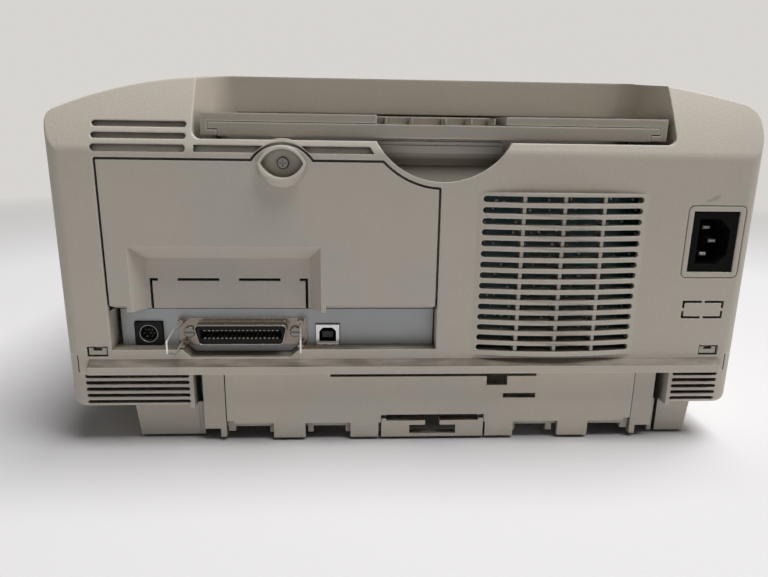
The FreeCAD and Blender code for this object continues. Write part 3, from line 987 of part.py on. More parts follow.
def feed_tray():
    left, right = tray_ends()
    under, top, low = tray_slide()
    rear, front = inside(TRAY_REAR), inside(TRAY_FRONT)
    plate = block(left, right, rear, front, under, TRAY_TOP)
    cut = prism_z(((TRAY_CUT_LEFT, rear + 1), (TRAY_CUT_LEFT, rear - TRAY_CUT_DEPTH),
                   (TRAY_CUT_RIGHT + TRAY_CUT_SLANT, rear - TRAY_CUT_DEPTH), (TRAY_CUT_RIGHT, rear + 1)),
                  under - 1, TRAY_TOP + 1)
    toe_low = low + CLEARANCE
    pieces = [less(plate, [cut])]
    for end, inward in ((left, -1), (right, 1)):
        wall = end + inward * TRAY_END_WALL
        pieces.append(block(end, wall, rear, front, toe_low, under))
        pieces.append(block(end, wall + inward * TRAY_TOE, rear, front, toe_low, toe_low + TRAY_TOE_HEIGHT))
    for place in TRAY_RIB_PLACES:
        x = PAPER_CENTRE + place
        pieces.append(block(x - TRAY_RIB / 2, x + TRAY_RIB / 2, rear - TRAY_RIB_SETBACK,
                            rear - TRAY_CUT_DEPTH - 1, under, TRAY_TOP - TRAY_RIB))
    y, z = tray_axis()
    pieces += [bar_x(TRAY_PIN_RADIUS, left, POCKET_LEFT + WALL, y, z),
               bar_x(TRAY_PIN_RADIUS, right, POCKET_RIGHT - WALL, y, z)]
    return join(pieces)


def tray_extension():
    left, right = tray_ends()
    under, top, low = tray_slide()
    rear, front = inside(TRAY_REAR), inside(TRAY_FRONT - EXTENSION_SHORT)
    tongue = TRAY_END_WALL + CLEARANCE
    body = tongue + TRAY_TOE
    plate = block(left - tongue, right + tongue, rear, front, top - EXTENSION_TONGUE, top)
    core = block(left - body, right + body, rear, front, low, top)
    hollow = block(left - body - EXTENSION_SKIN, right + body + EXTENSION_SKIN, rear - EXTENSION_SKIN,
                   front - 1,
                   low - 1, top - EXTENSION_SKIN)
    return less(join([plate, core]), [hollow])


def feed_chute():
    """The trough under the tray, with the stepped bar and the ramp that show through the finger notch."""
    rear, front = inside(CHUTE_REAR), inside(CHUTE_REAR + CHUTE_DEPTH)
    outer = block(POCKET_LEFT, POCKET_RIGHT, rear, front, CHUTE_BOTTOM, CHUTE_BAR_BOTTOM)
    hollow = prism_x(((rear - WALL, CHUTE_BAR_BOTTOM + 1), (rear - WALL, CHUTE_BAR_BOTTOM - WALL),
                      (front, CHUTE_BOTTOM + WALL), (front - 1, CHUTE_BAR_BOTTOM + 1)),
                     POCKET_LEFT - WALL, POCKET_RIGHT + WALL)
    bar_back = block(CHUTE_BAR_LEFT, CHUTE_BAR_RIGHT, rear, rear - WALL, CHUTE_BAR_BOTTOM - 1, CHUTE_BAR_TOP)
    steps = [block(CHUTE_BAR_LEFT, CHUTE_BAR_RIGHT, rear, rear + out, CHUTE_BAR_BOTTOM,
                   CHUTE_BAR_BOTTOM + top) for top, out in CHUTE_STEPS]
    ramp = prism_x(((rear, CHUTE_RAMP_TOP), (inside(CHUTE_RAMP_DEPTH), CHUTE_BOTTOM + 1),
                    (inside(CHUTE_RAMP_DEPTH), CHUTE_BOTTOM), (rear, CHUTE_BOTTOM)),
                   NOTCH_X - CHUTE_RAMP_HALF, NOTCH_X + CHUTE_RAMP_HALF)
    return join([less(outer, [hollow]), bar_back, ramp] + steps)


# Base casing

def tunnel_sides():
    """The cassette tunnel's two walls, as X and the way out of the tunnel."""
    return ((TUNNEL_LEFT, 1), (TUNNEL_RIGHT, -1))


def base_shell():
    outer = body_plan(0, BASE_FLOOR, SIDE_PARTING)
    outer = outer.makeFillet(BASE_EDGE, [e for e in outer.Edges if e.BoundBox.ZMax < BASE_FLOOR + 0.01])
    return outer.cut(body_plan(WALL, BASE_FLOOR + WALL, SIDE_PARTING + 1))


def runner(x_in, x_out):
    """A hollow foot block along one side of the tunnel."""
    out = 1 if x_out > x_in else -1
    y0, y1 = FRONT + RUNNER_FRONT, inside(RUNNER_REAR)
    foot, top = x_out - out * RUNNER_DRAFT, BASE_FLOOR + WALL
    solid = prism_y(((x_in, PAD_HEIGHT), (foot, PAD_HEIGHT), (x_out, BASE_FLOOR), (x_out, top), (x_in, top)),
                    y0, y1)
    wall, floor = out * WALL, PAD_HEIGHT + WALL
    hollow = prism_y(((x_in + wall, floor), (foot - wall, floor), (x_out - wall, BASE_FLOOR),
                      (x_out - wall, SIDE_PARTING), (x_in + wall, SIDE_PARTING)), y0 + WALL, y1 - WALL)
    return solid, hollow


def rear_corner_walls(out, vent_inner):
    """At one end of the rear: return of the vent block, web, strip beside the door, hinge lug."""
    strip_in = PAPER_CENTRE + out * STRIP_INNER
    strip_out = PAPER_CENTRE + out * STRIP_OUTER
    vent_edge = vent_inner - out * VENT_BORDER
    back = DOOR_WEB_DEPTH
    vent_return = block(vent_edge, vent_edge + out * WALL, REAR, inside(back + WALL), BASE_FLOOR,
                        REAR_PARTING)
    web = block(strip_out - out * WALL, vent_edge + out * WALL, inside(back), inside(back + WALL),
                STRIP_FOOT, REAR_PARTING)
    strip = block(strip_in, strip_out, inside(STRIP_DEPTH), inside(STRIP_DEPTH + WALL), STRIP_FOOT,
                  REAR_PARTING)
    strip_return = block(strip_out, strip_out - out * WALL, inside(STRIP_DEPTH), inside(back + WALL),
                         STRIP_FOOT, REAR_PARTING)
    lug = block(strip_in, strip_in + out * DOOR_LUG_THICK, inside(STRIP_DEPTH), inside(back),
                DOOR_LUG_FOOT, DOOR_LUG_TOP)
    return [vent_return, web, strip, strip_return, lug]


def turn_beam():
    """The round-nosed beam that the paper turns about, between the tunnel walls."""
    beam = block(TUNNEL_LEFT, TUNNEL_RIGHT, TURN_Y, TURN_Y - TURN_DEPTH, TURN_Z - TURN_RADIUS,
                 TURN_Z + TURN_RADIUS)
    hollow = block(TUNNEL_LEFT - WALL, TUNNEL_RIGHT + WALL, TURN_Y, TURN_Y - TURN_DEPTH - 1,
                   TURN_Z - TURN_RADIUS + WALL, TURN_Z + TURN_RADIUS - WALL)
    return less(join([beam, bar_x(TURN_RADIUS, TUNNEL_LEFT, TUNNEL_RIGHT, TURN_Y, TURN_Z)]), [hollow])


def clip_hooks():
    """Snap hooks that stand in the windows of the upper casing."""
    pieces = []
    for x in (WINDOW_LEFT_X, WINDOW_RIGHT_X):
        half = WINDOW_WIDTH / 2 - HOOK_GAP
        back = WALL + CLEARANCE
        pieces.append(block(x - half, x + half, inside(WALL), inside(back + HOOK_THICK),
                            REAR_PARTING - HOOK_ROOT, REAR_PARTING))
        pieces.append(block(x - half, x + half, inside(back), inside(back + HOOK_THICK), REAR_PARTING,
                            WINDOW_TOP - HOOK_GAP))
        head = block(x - half, x + half, inside(HOOK_GAP), inside(back), WINDOW_BOTTOM + HOOK_GAP,
                     WINDOW_TOP - HOOK_GAP)
        notch = block(x - half / 2, x + half / 2, REAR, inside(back), WINDOW_TOP - 3 * HOOK_GAP, WINDOW_TOP)
        pieces.append(less(head, [notch]))
    return pieces


def base_vents():
    depth = WALL + 1
    cuts = []
    for i in range(BASE_VENTS):
        z = BASE_VENT_TOP - i * BASE_VENT_PITCH
        cuts.append(slot(BASE_VENT_LEFT_INNER, SIDE - BASE_VENT_END, REAR + 1, inside(depth), z, BASE_VENT))
        cuts.append(slot(BASE_VENT_RIGHT_INNER, -SIDE + BASE_VENT_END, REAR + 1, inside(depth), z, BASE_VENT))
    return cuts


def deck():
    """The tunnel's ceiling with the pick-up window, the bar over the cassette, and the roller brackets."""
    plate = block(TUNNEL_LEFT + WALL, TUNNEL_RIGHT - WALL, FRONT, DECK_REAR, DECK_TOP - WALL, DECK_TOP)
    front_bar = block(TUNNEL_LEFT + WALL, TUNNEL_RIGHT - WALL, FRONT, FRONT + WALL, DECK_TOP - WALL,
                      SIDE_PARTING)
    window = block(PAPER_CENTRE - PICKUP_HALF - PICKUP_WINDOW, PAPER_CENTRE + PICKUP_HALF + PICKUP_WINDOW,
                   PICKUP_Y - PICKUP_RADIUS - PICKUP_WINDOW, PICKUP_Y + PICKUP_RADIUS + PICKUP_WINDOW,
                   0, SIDE_PARTING)
    pieces = [less(plate, [window]), front_bar]
    half = PICKUP_HALF + PICKUP_WINDOW + CLEARANCE
    for out in (1, -1):
        x = PAPER_CENTRE + out * half
        pieces.append(block(x, x + out * BRACKET_THICK, PICKUP_Y - 2 * PICKUP_SHAFT,
                            PICKUP_Y + 2 * PICKUP_SHAFT,
                            DECK_TOP, PICKUP_Z + 2 * PICKUP_SHAFT))
    return pieces


def base_casing():
    shell = base_shell()
    tunnel = block(TUNNEL_LEFT, TUNNEL_RIGHT, FRONT - 1, REAR + 1, 0, SIDE_PARTING + 1)
    rear_gap = block(BASE_VENT_LEFT_INNER - VENT_BORDER, BASE_VENT_RIGHT_INNER + VENT_BORDER, REAR + 1,
                     inside(DOOR_WEB_DEPTH), 0, SIDE_PARTING + 1)
    cheek = SIDE - CHEEK + PARTING_GAP
    rear_step = block(cheek, -cheek, REAR + 1, inside(WALL), REAR_PARTING, SIDE_PARTING + 1)
    left_runner, left_hollow = runner(TUNNEL_LEFT, RUNNER_LEFT)
    right_runner, right_hollow = runner(TUNNEL_RIGHT, RUNNER_RIGHT)
    shell = less(join([shell, left_runner, right_runner]), [tunnel, left_hollow, right_hollow, rear_gap,
                                                            rear_step])
    pieces = [shell, turn_beam()] + deck() + clip_hooks()
    for x, out in tunnel_sides():
        pieces.append(block(x, x + out * WALL, FRONT, inside(DOOR_WEB_DEPTH), PAD_HEIGHT + WALL, DECK_TOP))
        pieces.append(block(x, x - out * RAIL_REACH, FRONT + RUNNER_FRONT, DECK_REAR, RAIL_BOTTOM,
                            RAIL_BOTTOM + RAIL_THICK))
    foot_ends = [block(x, x + out * WALL, inside(DOOR_WEB_DEPTH), inside(RUNNER_REAR), PAD_HEIGHT, BASE_FLOOR)
                 for x, out in tunnel_sides()]
    pieces += foot_ends + rear_corner_walls(1, BASE_VENT_LEFT_INNER)
    pieces += rear_corner_walls(-1, BASE_VENT_RIGHT_INNER)
    pins = [bar_x(DOOR_PIN_RADIUS + RUN_FIT, SIDE, -SIDE, inside(DOOR_AXIS_DEPTH), DOOR_AXIS_Z).common(
        block(PAPER_CENTRE - STRIP_INNER - DOOR_LUG_THICK, PAPER_CENTRE + STRIP_INNER + DOOR_LUG_THICK, REAR,
              inside(SPARE), 0, SIDE_PARTING))]
    shaft = [bar_x(PICKUP_SHAFT + RUN_FIT, PAPER_CENTRE - 2 * PICKUP_HALF, PAPER_CENTRE + 2 * PICKUP_HALF,
                   PICKUP_Y, PICKUP_Z)]
    bores = [bar(SCREW_RADIUS, V(x, y, DECK_TOP - WALL - 1), V(x, y, SIDE_PARTING))
             for x, y in chassis_screw_places()]
    return less(join(pieces), base_vents() + pins + shaft + bores)


def rubber_feet():
    solids = []
    for x in ((TUNNEL_LEFT + RUNNER_LEFT) / 2, (TUNNEL_RIGHT + RUNNER_RIGHT) / 2):
        for y in (FRONT + RUNNER_FRONT + PAD_INSET, inside(RUNNER_REAR + PAD_INSET + PAD_LENGTH)):
            pad = block(x - PAD_WIDTH / 2, x + PAD_WIDTH / 2, y, y + PAD_LENGTH, 0, PAD_HEIGHT)
            solids.append(pad.makeFillet(PAD_WIDTH / 3, edges_along(pad, Z_AXIS)))
    return Part.makeCompound(solids)


# Rear access door and its latch

def door_front():
    return inside(DOOR_FACE), inside(DOOR_FACE + DOOR_THICK)


def rear_access_door():
    left, right = PAPER_CENTRE + DOOR_HALF, PAPER_CENTRE - DOOR_HALF
    outer, inner = door_front()
    plate = block(left, right, outer, inner, DOOR_EDGE, DOOR_TOP)
    tabs = [block(a, b, outer, inner, DOOR_TAB_FOOT, DOOR_EDGE) for a, b in DOOR_TABS]
    lip = block(left, right, inner, inner - DOOR_LIP_THICK, DOOR_LIP_FOOT, DOOR_EDGE + DOOR_LIP_THICK)
    studs = [block(a, b, inner, inner - DOOR_LIP_THICK, DOOR_STUD_FOOT, DOOR_EDGE) for a, b in DOOR_STUDS]
    axis_y = inside(DOOR_AXIS_DEPTH)
    bosses = []
    corners = []
    for end, out in ((left, 1), (right, -1)):
        root = end - out * DOOR_BOSS
        corners.append(block(root, end, outer + 1, inner, DOOR_TAB_FOOT, DOOR_EDGE + DOOR_CORNER))
        bosses.append(bar_x(DOOR_BOSS, root, end, axis_y, DOOR_AXIS_Z))
        bosses.append(block(root, end, inner, axis_y, DOOR_AXIS_Z - DOOR_BOSS, DOOR_AXIS_Z + DOOR_BOSS))
        bosses.append(bar_x(DOOR_PIN_RADIUS, end, end + out * DOOR_PIN_LENGTH, axis_y, DOOR_AXIS_Z))
    ribs = [door_rib(x) for x in spread(left - 3 * DOOR_BOSS, right + 3 * DOOR_BOSS, DOOR_RIBS)]
    room = LATCH_KEEP + CLEARANCE
    cuts = [block(DOOR_SLOT_LEFT, DOOR_SLOT_RIGHT, outer + 1, inner - 1, DOOR_TOP - DOOR_SLOT, DOOR_TOP + 1),
            block(DOOR_NOTCH[0], DOOR_NOTCH[1], outer + 1, inner - 1, DOOR_NOTCH[2], DOOR_TOP + 1),
            block(DOOR_WINDOW[0], DOOR_WINDOW[1], outer + 1, inner - 1, DOOR_WINDOW[2], DOOR_WINDOW[3]),
            block(LATCH_LEFT + CLEARANCE, LATCH_RIGHT - CLEARANCE, outer + 1, inner - 1, 0,
                  LATCH_TOP + LATCH_TRAVEL + CLEARANCE),
            block(LATCH_LEFT + room, LATCH_RIGHT - room, inner, inside(SPARE), 0,
                  LATCH_TOP + LATCH_TRAVEL + 2 * room)]
    return less(join([plate, lip] + tabs + studs + bosses + ribs), cuts + corners)


def door_rib(x):
    """A sheet guide on the inside of the door, hollowed to the turn of the paper."""
    inner = inside(DOOR_FACE + DOOR_THICK)
    rib = block(x - DOOR_RIB / 2, x + DOOR_RIB / 2, inner, inner - DOOR_RIB_DEPTH,
                LATCH_TOP + 4 * LATCH_TRAVEL, DOOR_TOP - 2 * DOOR_SLOT)
    return rib.cut(bar_x(TURN_RADIUS + TURN_GAP, x - SPARE, x + SPARE, TURN_Y, TURN_Z))


def door_latch():
    outer, inner = door_front()
    body = block(LATCH_LEFT, LATCH_RIGHT, outer, outer - LATCH_THICK, LATCH_FOOT, LATCH_TOP)
    keep = block(LATCH_LEFT + LATCH_KEEP, LATCH_RIGHT - LATCH_KEEP, inner - RUN_FIT, inner - LATCH_KEEP,
                 LATCH_FOOT + LATCH_KEEP,
                 LATCH_TOP + LATCH_KEEP)
    bar_cut = block(LATCH_BAR[0], LATCH_BAR[1], outer + 1, inside(SPARE), LATCH_BAR[2], LATCH_BAR[3])
    stem = block(LATCH_STEM[0], LATCH_STEM[1], outer + 1, inside(SPARE), LATCH_BAR[2], LATCH_TOP + SPARE)
    step = block(LATCH_LEFT - LATCH_POST, LATCH_RIGHT + LATCH_POST, outer + 1, inside(SPARE),
                 LATCH_TOP - LATCH_STEP, LATCH_TOP + SPARE)
    return less(join([body, keep]), [bar_cut, stem, step])


# Paper cassette

def cassette_floor():
    return CASSETTE_FOOT + CASSETTE_WALL


def lift_axis():
    return FRONT + CASSETTE_LENGTH - CASSETTE_WALL - LIFT_MARGIN - LIFT_LENGTH, cassette_floor() + LIFT_HEIGHT


def paper_cassette():
    left, right = PAPER_CENTRE + CASSETTE_HALF, PAPER_CENTRE - CASSETTE_HALF
    front, back = FRONT + CASSETTE_FRONT_THICK, FRONT + CASSETTE_LENGTH
    tray = block(left, right, front, back, CASSETTE_FOOT, CASSETTE_TOP)
    well = block(left - CASSETTE_WALL, right + CASSETTE_WALL, front + CASSETTE_WALL, back - CASSETTE_WALL,
                 cassette_floor(), CASSETTE_TOP + 1)
    edge = TUNNEL_HALF - CASSETTE_FRONT_GAP
    panel = round_block(PAPER_CENTRE - edge, PAPER_CENTRE + edge, FRONT, front, CASSETTE_FOOT,
                        CASSETTE_FRONT_TOP,
                        CASSETTE_FRONT_THICK, Y_AXIS)
    cup = block(PAPER_CENTRE - GRIP_HALF - CASSETTE_WALL, PAPER_CENTRE + GRIP_HALF + CASSETTE_WALL, front,
                FRONT + GRIP_DEPTH + CASSETTE_WALL, GRIP_BOTTOM - CASSETTE_WALL, GRIP_TOP + CASSETTE_WALL)
    grip = round_block(PAPER_CENTRE - GRIP_HALF, PAPER_CENTRE + GRIP_HALF, FRONT - 1, FRONT + GRIP_DEPTH,
                       GRIP_BOTTOM, GRIP_TOP, CASSETTE_WALL, Y_AXIS)
    rest = RAIL_BOTTOM + RAIL_THICK + CLEARANCE
    reach = TUNNEL_HALF - 2 * CASSETTE_FRONT_GAP
    flanges = [block(PAPER_CENTRE + out * CASSETTE_HALF, PAPER_CENTRE + out * reach, FRONT + RUNNER_FRONT,
                     back, rest,
                     rest + CASSETTE_FLANGE) for out in (1, -1)]
    y, z = lift_axis()
    pivots = bar_x(LIFT_PIN_RADIUS + RUN_FIT, left - CASSETTE_WALL / 2, right + CASSETTE_WALL / 2, y, z)
    return less(join([less(tray, [well]), panel, cup] + flanges), [grip, pivots])


def lift_plate():
    half = CASSETTE_HALF - CASSETTE_WALL - LIFT_MARGIN
    y, z = lift_axis()
    plate = block(PAPER_CENTRE - half, PAPER_CENTRE + half, y, y + LIFT_LENGTH, z, z + LIFT_THICK)
    reach = CASSETTE_HALF - CASSETTE_WALL / 2 - CLEARANCE
    pin = bar_x(LIFT_PIN_RADIUS, PAPER_CENTRE - reach, PAPER_CENTRE + reach, y, z)
    return join([plate, pin])


def paper_guide(out):
    """An upright side guide on a thin foot, on the given side of the paper."""
    x0 = PAPER_CENTRE + out * (PAPER_WIDTH / 2 - GUIDE_SET)
    y0 = FRONT + GUIDE_PLACE
    floor = cassette_floor() + RUN_FIT
    upright = block(x0, x0 + out * GUIDE_THICK, y0, y0 + GUIDE_LENGTH, floor, GUIDE_TOP)
    foot = block(x0 + out * GUIDE_THICK, x0 - out * GUIDE_FOOT_WIDTH, y0, y0 + GUIDE_LENGTH, floor,
                 floor + LIFT_THICK)
    return join([upright, foot])


# Top cover and output flap

def lid_range():
    return LID_LEFT - LID_GAP, LID_RIGHT + LID_GAP


def lid_flanges():
    """The two places, as inner and outer X, of the flanges that carry the pins."""
    left, right = lid_range()
    return ((left - LID_FLANGE_SETBACK, -1, LID_LEFT + WALL), (right + LID_FLANGE_SETBACK, 1,
                                                               LID_RIGHT - WALL))


def top_cover():
    left, right = lid_range()
    rear = inside(POCKET_DEPTH + WALL + LID_REAR_GAP)
    room = block(left, right, FRONT - 1, rear, LID_FRONT_EDGE + LID_GAP, TOP_HEIGHT + 1)
    inner = body_form(WALL)
    band = inner.cut(body_form(WALL + LID_FRAME)).common(room)
    y, z = lid_axis()
    pieces = [body_form(0).cut(inner).common(room)]
    for x, inward, end in lid_flanges():
        pieces.append(band.common(block(x, x + inward * LID_FLANGE, FRONT, REAR, 0, TOP_HEIGHT)))
        pieces.append(bar_x(LID_PIN_RADIUS, x, end, y, z))
    return join(pieces)


def output_flap():
    left, right = lid_range()
    y, z = FRONT + FLAP_AXIS_DEPTH, FLAP_AXIS_Z
    top = LID_FRONT_EDGE - FLAP_GAP
    pieces = [block(left, right, FRONT, FRONT + WALL, FLAP_BOTTOM, top)]
    for x, inward, end in lid_flanges():
        pieces.append(bar_x(FLAP_EAR, x, x + inward * LID_FLANGE, y, z))
        pieces.append(bar_x(FLAP_PIN_RADIUS, x, end, y, z))
    for x in spread(left - SPARE, right + SPARE, FLAP_RIBS):
        pieces.append(block(x - FLAP_RIB / 2, x + FLAP_RIB / 2, FRONT + WALL, FRONT + WALL + FLAP_RIB_HEIGHT,
                            FLAP_BOTTOM + SPARE / 2, top - SPARE / 2))
    grip = round_block(PAPER_CENTRE - FLAP_GRIP_HALF, PAPER_CENTRE + FLAP_GRIP_HALF, FRONT - 1, FRONT + SPARE,
                       top - FLAP_GRIP_DROP, top + FLAP_GRIP_DROP, FLAP_GRIP_DROP / 2, Y_AXIS)
    return less(join(pieces), [grip])


# Control panel, buttons, lenses and the board behind them

def control_back():
    """Y of the panel's face, of its back, and of the board's face."""
    back = FRONT + WALL + CONTROL_RIM_THICK
    return FRONT + CONTROL_SETBACK, back, back + CONTROL_BOARD_GAP


def control_panel():
    face_y, back, board = control_back()
    plate = round_block(CONTROL_LEFT, CONTROL_RIGHT, face_y, back, CONTROL_BOTTOM, CONTROL_TOP,
                        CONTROL_CORNER, Y_AXIS)
    rim = round_block(CONTROL_LEFT + CONTROL_RIM, CONTROL_RIGHT - CONTROL_RIM, FRONT + WALL, back,
                      CONTROL_BOTTOM - CONTROL_RIM, CONTROL_TOP + CONTROL_RIM, CONTROL_CORNER, Y_AXIS)
    inset = 2 * CONTROL_POST
    posts = [bar_y(CONTROL_POST, x, back, board, z) for x in (CONTROL_LEFT - inset, CONTROL_RIGHT + inset)
             for z in (CONTROL_BOTTOM + inset, CONTROL_TOP - inset)]
    holes = [bar_y(BUTTON_RADIUS + CLEARANCE, BUTTON_X, FRONT, back + 1, z) for z in BUTTON_HEIGHTS]
    lenses = [bar_y(LENS_RADIUS, LENS_X, FRONT, back + 1, z) for z in BUTTON_HEIGHTS]
    return less(join([plate, rim] + posts), holes + lenses)


def button(z):
    face_y, back, board = control_back()
    cap = bar_y(BUTTON_RADIUS, BUTTON_X, face_y - BUTTON_STAND, back + RUN_FIT, z)
    cap = cap.makeFillet(BUTTON_EDGE, [e for e in cap.Edges if e.CenterOfMass.y < face_y])
    flange = bar_y(BUTTON_RADIUS + BUTTON_FLANGE, BUTTON_X, back + RUN_FIT, back + RUN_FIT + BUTTON_FLANGE, z)
    return join([cap, flange])


def indicator_lenses():
    face_y, back, board = control_back()
    solids = []
    for z in BUTTON_HEIGHTS:
        lens = bar_y(LENS_RADIUS, LENS_X, face_y - LENS_STAND, back, z)
        solids.append(lens.makeFillet(LENS_STAND, [e for e in lens.Edges if e.CenterOfMass.y < face_y]))
    return Part.makeCompound(solids)


def control_board():
    face_y, back, board = control_back()
    plate = block(CONTROL_LEFT, CONTROL_RIGHT, board, board + CONTROL_BOARD_THICK, CONTROL_BOTTOM,
                  CONTROL_TOP)
    top = back + RUN_FIT + BUTTON_FLANGE + BUTTON_TRAVEL + CLEARANCE
    half = SWITCH_SIZE / 2
    switches = [block(BUTTON_X - half, BUTTON_X + half, top, board, z - half, z + half)
                for z in BUTTON_HEIGHTS]
    return join([plate] + switches)


# Chassis of the print mechanism

def chassis_floor():
    return DECK_TOP + PLATE_THICK


def chassis_inner():
    return CHASSIS_LEFT - PLATE_THICK, CHASSIS_RIGHT + PLATE_THICK


def pinch_height():
    return FEED_Z + FEED_RADIUS + PINCH_RADIUS + CLEARANCE


def chassis_screw_places():
    return [(x, y) for x in CHASSIS_SCREW_X for y in CHASSIS_SCREW_Y]


def chassis():
    left, right = chassis_inner()
    plate = block(CHASSIS_LEFT, CHASSIS_RIGHT, CHASSIS_FRONT, CHASSIS_REAR, DECK_TOP, chassis_floor())
    sides = [block(CHASSIS_LEFT, left, CHASSIS_FRONT, CHASSIS_REAR, DECK_TOP, CHASSIS_TOP),
             block(CHASSIS_RIGHT, right, CHASSIS_FRONT, CHASSIS_REAR, DECK_TOP, CHASSIS_TOP)]
    wall = block(CHASSIS_LEFT, CHASSIS_RIGHT, MOTOR_WALL, MOTOR_WALL + PLATE_THICK, MOTOR_WALL_BOTTOM,
                 CHASSIS_TOP)
    y, z = idler_centre()
    stubs = [bar_x(STUB_RADIUS, CHASSIS_RIGHT, CHASSIS_RIGHT - GEAR_GAP - GEAR_WIDTH - CLEARANCE, y, z),
             bar_y(STUB_RADIUS, IDLER_X, MOTOR_WALL, BELT_Y - pulley_half() - CLEARANCE, BELT_Z)]
    rail = block(left, right, RAIL_Y - RAIL_BAR / 2, RAIL_Y + RAIL_BAR / 2, RAIL_Z - RAIL_HEIGHT / 2,
                 RAIL_Z + RAIL_HEIGHT / 2)
    pinion_y, pinion_z = pinion_centre()
    across = (CHASSIS_LEFT + 1, CHASSIS_RIGHT - 1)
    holes = [bar_x(ROD_RADIUS + SEAT_FIT, *across, ROD_Y, ROD_Z),
             bar_x(JOURNAL_RADIUS + RUN_FIT, *across, FEED_Y, FEED_Z),
             bar_x(EXIT_RADIUS + RUN_FIT, *across, EXIT_Y, EXIT_Z),
             bar_x(PINCH_AXLE + RUN_FIT, *across, FEED_Y, pinch_height()),
             bar_x(2 * MOTOR_SHAFT, CHASSIS_RIGHT - 1, right + 1, pinion_y, pinion_z),
             bar_y(2 * MOTOR_SHAFT, DRIVE_X, MOTOR_WALL - 1, MOTOR_WALL + SPARE, BELT_Z)]
    holes += [bar(SCREW_RADIUS + SEAT_FIT, V(x, y, DECK_TOP - 1), V(x, y, CHASSIS_TOP))
              for x, y in chassis_screw_places()]
    return join([less(join([plate, wall, rail] + sides), holes)] + stubs)


def chassis_screws():
    seat = chassis_floor()
    solids = []
    for x, y in chassis_screw_places():
        head = bar(SCREW_HEAD_RADIUS, V(x, y, seat), V(x, y, seat + SCREW_HEAD))
        shank = bar(SCREW_RADIUS, V(x, y, seat), V(x, y, seat - CHASSIS_SCREW_LENGTH))
        drive = block(x - SCREW_HEAD_RADIUS, x + SCREW_HEAD_RADIUS, y - SCREW_DRIVE / 2, y + SCREW_DRIVE / 2,
                      seat + SCREW_HEAD - SCREW_DRIVE, seat + SCREW_HEAD + 1)
        solids.append(less(join([head, shank]), [drive]))
    return Part.makeCompound(solids)


def guide_rod():
    return bar_x(ROD_RADIUS, CHASSIS_LEFT, CHASSIS_RIGHT, ROD_Y, ROD_Z)


# Carriage with its cartridges, belt and pulleys

def cartridge_bays():
    """The two wells of the carriage, as their right and left X."""
    inner = CARRIAGE_HALF - CARRIAGE_WALL
    return ((CARRIAGE_PARK + CARRIAGE_WALL / 2, CARRIAGE_PARK + inner),
            (CARRIAGE_PARK - inner, CARRIAGE_PARK - CARRIAGE_WALL / 2))


def carriage_well():
    return CARRIAGE_FRONT + CARRIAGE_WALL, CARRIAGE_BACK - CARRIAGE_WALL, CARRIAGE_FLOOR + CARRIAGE_WALL


def nozzle(bay, grow, z0, z1):
    """The print head under a cartridge, seen as a block that drops through the carriage floor."""
    front, back, floor = carriage_well()
    middle = (bay[0] + bay[1]) / 2
    return block(middle - NOZZLE_HALF - grow, middle + NOZZLE_HALF + grow, front + NOZZLE_SET - grow,
                 front + NOZZLE_SET + NOZZLE_LENGTH + grow, z0, z1)


def carriage():
    x0, x1 = CARRIAGE_PARK - CARRIAGE_HALF, CARRIAGE_PARK + CARRIAGE_HALF
    front, back, floor = carriage_well()
    arm_top = ROD_Z + CARRIAGE_BOSS
    box = block(x0, x1, CARRIAGE_FRONT, CARRIAGE_BACK, CARRIAGE_FLOOR, CARRIAGE_TOP)
    arm = block(x0, x1, CARRIAGE_BACK, ROD_Y, CARRIAGE_BOSS_BOTTOM, arm_top)
    boss = bar_x(CARRIAGE_BOSS, x0, x1, ROD_Y, ROD_Z)
    run = BELT_Z - BELT_RADIUS - BELT_THICK
    clamp = block(CARRIAGE_PARK - CLAMP_HALF, CARRIAGE_PARK + CLAMP_HALF, ROD_Y,
                  BELT_Y + BELT_WIDTH / 2 + CLAMP_JAW / 2,
                  run - CLAMP_JAW, run + BELT_THICK + CLAMP_JAW)
    rail_top, rail_face = RAIL_Z + RAIL_HEIGHT / 2 + CLEARANCE, RAIL_Y - RAIL_BAR / 2 - CLEARANCE
    hook = [block(x0, x1, CARRIAGE_FRONT, rail_face - CARRIAGE_WALL, rail_top, rail_top + CARRIAGE_WALL),
            block(x0, x1, rail_face, rail_face - CARRIAGE_WALL, RAIL_Z, rail_top)]
    cuts = [block(a, b, front, back, floor, CARRIAGE_TOP + 1) for a, b in cartridge_bays()]
    cuts += [nozzle(bay, CLEARANCE, CARRIAGE_FLOOR - 1, floor + 1) for bay in cartridge_bays()]
    cuts.append(bar_x(ROD_RADIUS + RUN_FIT, x0 - 1, x1 + 1, ROD_Y, ROD_Z))
    cuts.append(block(x0, x1, BELT_Y - BELT_WIDTH / 2 - CLEARANCE, BELT_Y + SPARE, run - CLEARANCE,
                      run + BELT_THICK + CLEARANCE))
    return less(join([box, arm, boss, clamp] + hook), cuts)


def cartridge(bay):
    front, back, floor = carriage_well()
    body = block(bay[0] + CARTRIDGE_GAP, bay[1] - CARTRIDGE_GAP, front + CARTRIDGE_GAP,
                 back - CARTRIDGE_GAP, floor, CARTRIDGE_TOP)
    top = [e for e in body.Edges if e.BoundBox.ZMin > CARTRIDGE_TOP - 0.01]
    body = body.makeChamfer(CARTRIDGE_GAP, top)
    return join([body, nozzle(bay, 0, CARRIAGE_FLOOR - NOZZLE_DROP, floor)])


def pulley_half():
    return BELT_WIDTH / 2 + CLEARANCE + PULLEY_FLANGE_THICK


def pulley(x):
    rim = bar_y(BELT_RADIUS - RUN_FIT, x, BELT_Y - pulley_half(), BELT_Y + pulley_half(), BELT_Z)
    flanges = [bar_y(BELT_RADIUS + PULLEY_FLANGE, x, BELT_Y + side * (pulley_half() - PULLEY_FLANGE_THICK),
                     BELT_Y + side * pulley_half(), BELT_Z) for side in (1, -1)]
    return join([rim] + flanges)


